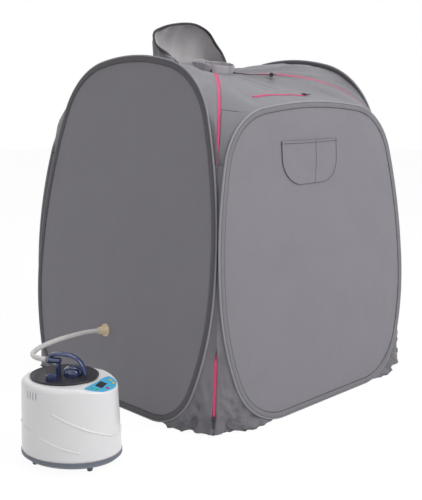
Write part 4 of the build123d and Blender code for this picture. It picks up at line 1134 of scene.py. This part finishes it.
# ---- pocket ------------------------------------------------------------------
# Flat patch pocket of wall nylon, rounded at the bottom and sewn to the front with two rows
# of thread.  Its mouth is hemmed, and the elastic in it draws the hem into small puckers.
POCKET_MIDDLE = -0.027
POCKET_MOUTH = 0.764
POCKET_WIDTH = 0.240
POCKET_DEPTH = 0.122
POCKET_CORNER = 0.074
POCKET_COLUMNS = 70


def pocket_half(depth):
    """Half width of the pocket so far below its mouth."""
    into = max(0.0, depth - (POCKET_DEPTH - POCKET_CORNER))
    return POCKET_WIDTH / 2 - POCKET_CORNER + math.sqrt(max(0.0, POCKET_CORNER ** 2 - into ** 2))


front_plane = PANELS["front"][1]
rows = []
for depth in POCKET_DEPTH * np.sin(np.linspace(0, math.pi / 2, 30)):
    half = pocket_half(depth)
    u = np.linspace(-half, half, POCKET_COLUMNS)
    share = u / (POCKET_WIDTH / 2)
    flat = np.stack((POCKET_MIDDLE + u, np.full(POCKET_COLUMNS, POCKET_MOUTH - depth)), 1)
    open_mouth = (1 - depth / POCKET_DEPTH) ** 1.6 * (1 - np.abs(share) ** 2.4)
    draw = np.exp(-depth / 0.010) * np.sin(u / 0.0090 * 2 * math.pi + 3 * ripple(flat, 0.04, 3.0))
    sag = 0.0022 * np.exp(-depth / 0.02) * (1 - share ** 2)
    height = wall_slack("front", flat) + 0.0030 + 0.0034 * open_mouth + 0.0016 * draw
    height += 0.0010 * ripple(flat, 0.05, 8.0) * (1 - np.abs(share) ** 3)
    rows.append(front_plane.at(flat[:, 0], flat[:, 1] - sag, height))
rows = np.array(rows)
patch, cut = lay_cloth("patch_pocket", rows, wall_nylon, "door", "wall_cloth", "pocket")

stitches = coil_tree(plain_finish("dark_thread", (0.045, 0.043, 0.05), (0.115, 0.11, 0.12),
                                  700.0, 2.0, (0.7, 0.1), 0.0001))
out = front_plane.normal * 0.0006
edge = np.concatenate((rows[:, 0], rows[-1, 1:-1], rows[::-1, -1]))
sewing = [grown(name, line, stitches, "door", "binding", Pitch=pitch, Width=width,
                Thickness=thickness, Length=length)
          for name, line, pitch, width, thickness, length in (
              ("pocket_seam", edge + out, 0.0030, 0.0010, 0.0007, 0.0022),
              ("pocket_hem_stitch", rows[1] + out * 1.5, 0.0042, 0.0012, 0.0008, 0.0026),
              ("pocket_middle_seam", rows[:, 40] + out, 0.0030, 0.0008, 0.0006, 0.0022))]

# ---- sleeve stitching --------------------------------------------------------
# Two rows of lockstitch hold each sleeve: one beside the piping, one at the wall.  They
# are sewn in the same dark thread as the pocket.
for side, (outline, plane, body) in PANELS.items():
    places, inward, _ = outline.around(300)
    for row, inset, height in (("outer", 0.0058, 0.0036), ("inner", 0.0198, 0.0030)):
        spots = places + inward * inset
        line = plane.at(spots[:, 0], spots[:, 1], height)
        grown(f"{side}_{row}_stitch", np.concatenate((line, line[:1])), stitches, body, "binding",
              Pitch=0.0055, Width=0.0006, Thickness=0.0005, Length=0.0034)

# ---- steam port --------------------------------------------------------------
# Cream plastic bell, moulded in one with its flange and pushed through the left wall, with
# the flange outside.  The hose plugs into it.
cream_mould = plain_finish("cream_moulding", (0.74, 0.59, 0.38), (0.86, 0.73, 0.52), 70.0, 4.0,
                           (0.36, 0.14), 0.0002, Coat_Weight=0.15)
give(cream_mould, "hose_fitting")

# ---- steamer body ------------------------------------------------------------
# Oval moulded shell in glossy white, wide at the foot, with a rounded shoulder.  One end
# of its top slopes down to carry the controls.  Low ribs run round it and slots vent it.
STEAMER_PLACE = (-0.766, -0.245)
STEAMER_TURN = math.radians(-60)
BODY_LOW, BODY_HIGH = (0.127, 0.100), (0.121, 0.094)
BASE_TOP, BODY_TOP, SHOULDER = 0.030, 0.210, 0.013
SLOPE_START, SLOPE = 0.056, math.tan(math.radians(15))
LID_PLACE, OPENING = (-0.016, 0.007), (0.079, 0.069)
SHELL_WALL = 0.0028
VENT_OVAL, VENT_HEIGHT = (0.121, 0.0945), 0.186
VENT_BEARING, VENT_STEP = 232, 5.0
VENT_SIZE = (0.014, 0.0013, 0.0095)
RIB_HALVES = (0.0022, 0.0028)
VENT_OUTLINE = ((-1, -0.8), (-0.5, -1), (0.5, -1), (1, -0.8), (1, 0.8), (0.5, 1), (-0.5, 1),
                (-1, 0.8))


def placed(points):
    """Points in the steamer's own directions, x towards its controls, as places in the room."""
    points = np.asarray(points, float)
    c, s = math.cos(STEAMER_TURN), math.sin(STEAMER_TURN)
    x, y, z = points[..., 0], points[..., 1], points[..., 2]
    return np.stack((STEAMER_PLACE[0] + c * x - s * y, STEAMER_PLACE[1] + s * x + c * y, z), -1)


def body_top(x):
    """Height of the top, flat and then sloping, with the edge between them eased."""
    run = x - SLOPE_START
    eased = (run + np.sqrt(run ** 2 + 0.005 ** 2)) / 2
    return BODY_TOP - eased * SLOPE


def oval(half, turns, z, centre=(0.0, 0.0)):
    return np.stack((centre[0] + half[0] * np.cos(turns), centre[1] + half[1] * np.sin(turns),
                     np.broadcast_to(z, turns.shape)), -1)


def shoulder(x):
    """Radius of the rounded edge, which is smaller along the sloping end."""
    return SHOULDER - 0.0085 * np.clip((x - SLOPE_START + 0.01) / 0.04, 0, 1)


turns = np.linspace(0, 2 * math.pi, 220, endpoint=False)
rows = []
for share in np.linspace(0, 1, 34):
    half = [low + (high - low) * share for low, high in zip(BODY_LOW, BODY_HIGH)]
    ring = oval(half, turns, 0.0)
    ring[:, 2] = BASE_TOP + (body_top(ring[:, 0]) - shoulder(ring[:, 0]) - BASE_TOP) * share
    rows.append(ring)
for swing in np.radians(np.linspace(9, 90, 10)):
    radius = shoulder(BODY_HIGH[0] * np.cos(turns))
    ring = oval([high - radius * (1 - math.cos(swing)) for high in BODY_HIGH], turns, 0.0)
    ring[:, 2] = body_top(ring[:, 0]) - radius * (1 - math.sin(swing))
    rows.append(ring)
edge = rows[-1]
mouth_ring = oval(OPENING, turns, 0.0, LID_PLACE)
for share in np.linspace(0, 1, 12)[1:]:
    ring = edge + (mouth_ring - edge) * share
    ring[:, 2] = body_top(ring[:, 0])
    rows.append(ring)
rows.append(oval(OPENING, turns, BODY_TOP - 0.004, LID_PLACE))
rows = np.array(rows)

white_shell, wires = blank_finish("white_shell_plastic")
flow = wires.noise(12.0)
shade_with(wires, {"Base Color": wires.tint(flow, (0.82, 0.81, 0.83), (0.90, 0.89, 0.90)),
                   "Roughness": 0.26 + 0.10 * flow, "Coat Weight": 0.35, "Coat Roughness": 0.1},
           wires.noise(500.0, 2.0), 0.0001, 0.4)
shell = grid_mesh("white_shell", placed(rows), white_shell, True, (*STEAMER_PLACE, 0.1))
thicken(shell, SHELL_WALL)
cutter_mesh = bpy.data.meshes.new("vent_cutter")
corners, faces = [], []
for step in range(4):
    bearing = math.radians(VENT_BEARING + VENT_STEP * step)
    way = np.array((math.cos(bearing), math.sin(bearing), 0))
    side_way = np.array((-way[1], way[0], 0))
    middle = np.array((VENT_OVAL[0] * way[0], VENT_OVAL[1] * way[1], VENT_HEIGHT))
    start = len(corners)
    deep, wide, tall = VENT_SIZE
    corners += [middle + way * a * deep + side_way * b * wide + np.array((0, 0, c * tall))
                for a in (-1, 1) for b, c in VENT_OUTLINE]
    loop = list(range(start, start + 8))
    faces += [tuple(reversed(loop)), tuple(k + 8 for k in loop)]
    faces += [(loop[k], loop[(k + 1) % 8], loop[(k + 1) % 8] + 8, loop[k] + 8) for k in range(8)]
cutter_mesh.from_pydata(placed(corners).tolist(), [], faces)
cutter = bpy.data.objects.new("vent_cutter", cutter_mesh)
bpy.context.collection.objects.link(cutter)
slots = shell.modifiers.new("vents", "BOOLEAN")
slots.object, slots.solver = cutter, "EXACT"
bpy.context.view_layer.update()
shape = shell.evaluated_get(bpy.context.evaluated_depsgraph_get())
cut_shell = bpy.data.meshes.new_from_object(shape)
shell.modifiers.clear()
shell.data = cut_shell
bpy.data.objects.remove(cutter)
fit_out(shell, "cabin", "white_plastic", "steamer_shell")


def on_body(bearing, z, out=0.0):
    a, share = math.radians(bearing), (z - BASE_TOP) / (BODY_TOP - SHOULDER - BASE_TOP)
    half = [low + (high - low) * share + out for low, high in zip(BODY_LOW, BODY_HIGH)]
    return placed((half[0] * math.cos(a), half[1] * math.sin(a), z))


for name, way in (
        ("rib_low", ((205, 0.104), (232, 0.097), (256, 0.084), (278, 0.067), (300, 0.054))),
        ("rib_high", ((268, 0.150), (288, 0.130), (312, 0.107), (340, 0.086), (364, 0.078),
                      (376, 0.088)))):
    line = spline([on_body(*place, 0.0002) for place in way], 90)
    outward = line - np.array((*STEAMER_PLACE, 0))
    outward[:, 2] = 0
    rib = swept(name, line, outward, *RIB_HALVES, white_shell)
    fit_out(rib, "cabin", "white_plastic")

grey_mould = plain_finish("grey_moulding", (0.135, 0.155, 0.195), (0.185, 0.205, 0.250), 240.0,
                          4.0, (0.42, 0.12), 0.0002)
rubber = plain_finish("grey_foot_rubber", (0.10, 0.11, 0.13), (0.17, 0.18, 0.20), 160.0, 4.0,
                      (0.72, 0.1), 0.0003)
steel, wires = blank_finish("drawn_heater_steel")
drawn = wires.wave(300.0, "Z", Distortion=4.0)
shade_with(wires, {"Base Color": wires.tint(drawn, (0.42, 0.42, 0.43), (0.62, 0.61, 0.60)),
                   "Roughness": 0.28 + 0.12 * drawn, "Metallic": 1.0}, drawn, 0.0001)
give(grey_mould, "steamer_base")
give(rubber, "steamer_feet")
give(steel, "heating_element", "water_tank")

# ---- lid, handle and outlet --------------------------------------------------
# Glossy black lid in a rolled rim.  On it stand a clear navy dome, an outlet nozzle with a
# grey ring, a navy handle that arches from the nozzle over the dome, and a filler cap.
black_gloss = plain_finish("black_gloss_plastic", (0.012, 0.012, 0.018), (0.028, 0.028, 0.037),
                           35.0, 4.0, (0.30, 0.14), 0.0001, Specular_IOR_Level=0.35,
                           Coat_Weight=0.08)
give(black_gloss, "lid")
turns = np.linspace(0, 2 * math.pi, 181)
RIM_HEIGHT, NOZZLE_HEIGHT = 0.2128, 0.250
rolled = placed(oval([half + 0.0045 for half in OPENING], turns[:-1], RIM_HEIGHT, LID_PLACE))
sides = np.linspace(0, 2 * math.pi, 10, endpoint=False)
away = rolled - placed((*LID_PLACE, RIM_HEIGHT))
away /= np.linalg.norm(away, axis=1)[:, None]
rows = (rolled[:, None] + away[:, None] * (0.0022 * np.cos(sides))[None, :, None]
        + np.array((0, 0, 1.0)) * (0.0021 * np.sin(sides))[None, :, None])
lid_rim = closed_mesh("lid_rim", np.concatenate((rows, rows[:1])), black_gloss)
fit_out(lid_rim, "steamer_lid", "black_gloss")

navy = plain_finish("clear_navy_plastic", (0.022, 0.040, 0.135), (0.060, 0.100, 0.280), 45.0, 2.0,
                    (0.10, 0.08), 0.0001, IOR=1.49, Transmission_Weight=0.35, Coat_Weight=0.6,
                    Coat_Roughness=0.05)
give(navy, "steam_dome", "outlet_nozzle", "filler_cap")
ARCH_STEPS = 60
ARCH = ((-0.0500, 0.2610), (-0.034, 0.2655), (-0.014, 0.2665), (0.006, 0.2645), (0.024, 0.2560),
        (0.036, 0.2410), (0.0412, 0.2175))
arch = spline([placed((x, 0.002, z)) for x, z in ARCH], ARCH_STEPS)
width = np.interp(np.linspace(0, 1, ARCH_STEPS), (0, 0.25, 0.8, 1),
                  (0.0060, 0.0095, 0.0085, 0.0060))
handle = swept("arched_handle", arch, placed((0, 1, 0)) - placed((0, 0, 0)), width,
               np.linspace(0.0056, 0.0036, ARCH_STEPS), navy, 16)
fit_out(handle, "steamer_lid", "navy_plastic", "lid_handle")

RING_STEPS = 48
ring_profile = ((-0.0585, 0.0068), (-0.0585, 0.0084), (-0.0578, 0.0090), (-0.0540, 0.0092),
                (-0.0520, 0.0086), (-0.0518, 0.0077))
turns = np.linspace(0, 2 * math.pi, RING_STEPS, endpoint=False)
rows = np.array([placed(np.stack((np.full(RING_STEPS, x), radius * np.cos(turns),
                                  NOZZLE_HEIGHT + radius * np.sin(turns)), -1))
                 for x, radius in ring_profile])
ring = grid_mesh("nozzle_ring", rows, grey_mould, True, placed((-0.055, 0, NOZZLE_HEIGHT)))
fit_out(ring, "steamer_lid", "grey_plastic")

# ---- controls ----------------------------------------------------------------
# Sky-blue leaf-shaped plate let into the slope, with a liquid crystal window and five
# small rubber-feel buttons.  A mains inlet sits low on the back.
YELLOW, GREEN = ((0.72, 0.50, 0.03), (0.86, 0.66, 0.08)), ((0.04, 0.42, 0.16), (0.09, 0.58, 0.24))
for name, nodes, low, high, rough, coat in (
        ("sky_blue_plate", ("control_panel",), (0.055, 0.42, 0.74), (0.10, 0.55, 0.86), 0.28, 0.4),
        ("window_glass", ("display_window",), (0.010, 0.014, 0.020), (0.030, 0.040, 0.050), 0.10,
         0.6),
        ("red_button", ("power_button",), (0.52, 0.020, 0.020), (0.74, 0.050, 0.040), 0.34, 0.2),
        ("yellow_button", ("heat_button", "timer_button"), *YELLOW, 0.34, 0.2),
        ("green_button", ("less_button", "more_button"), *GREEN, 0.34, 0.2),
        ("black_inlet", ("power_inlet",), (0.010, 0.010, 0.011), (0.030, 0.030, 0.032), 0.42,
         0.0)):
    give(plain_finish(name, low, high, 180.0, 3.0, (rough, 0.12), 0.0001, Coat_Weight=coat),
         *nodes)
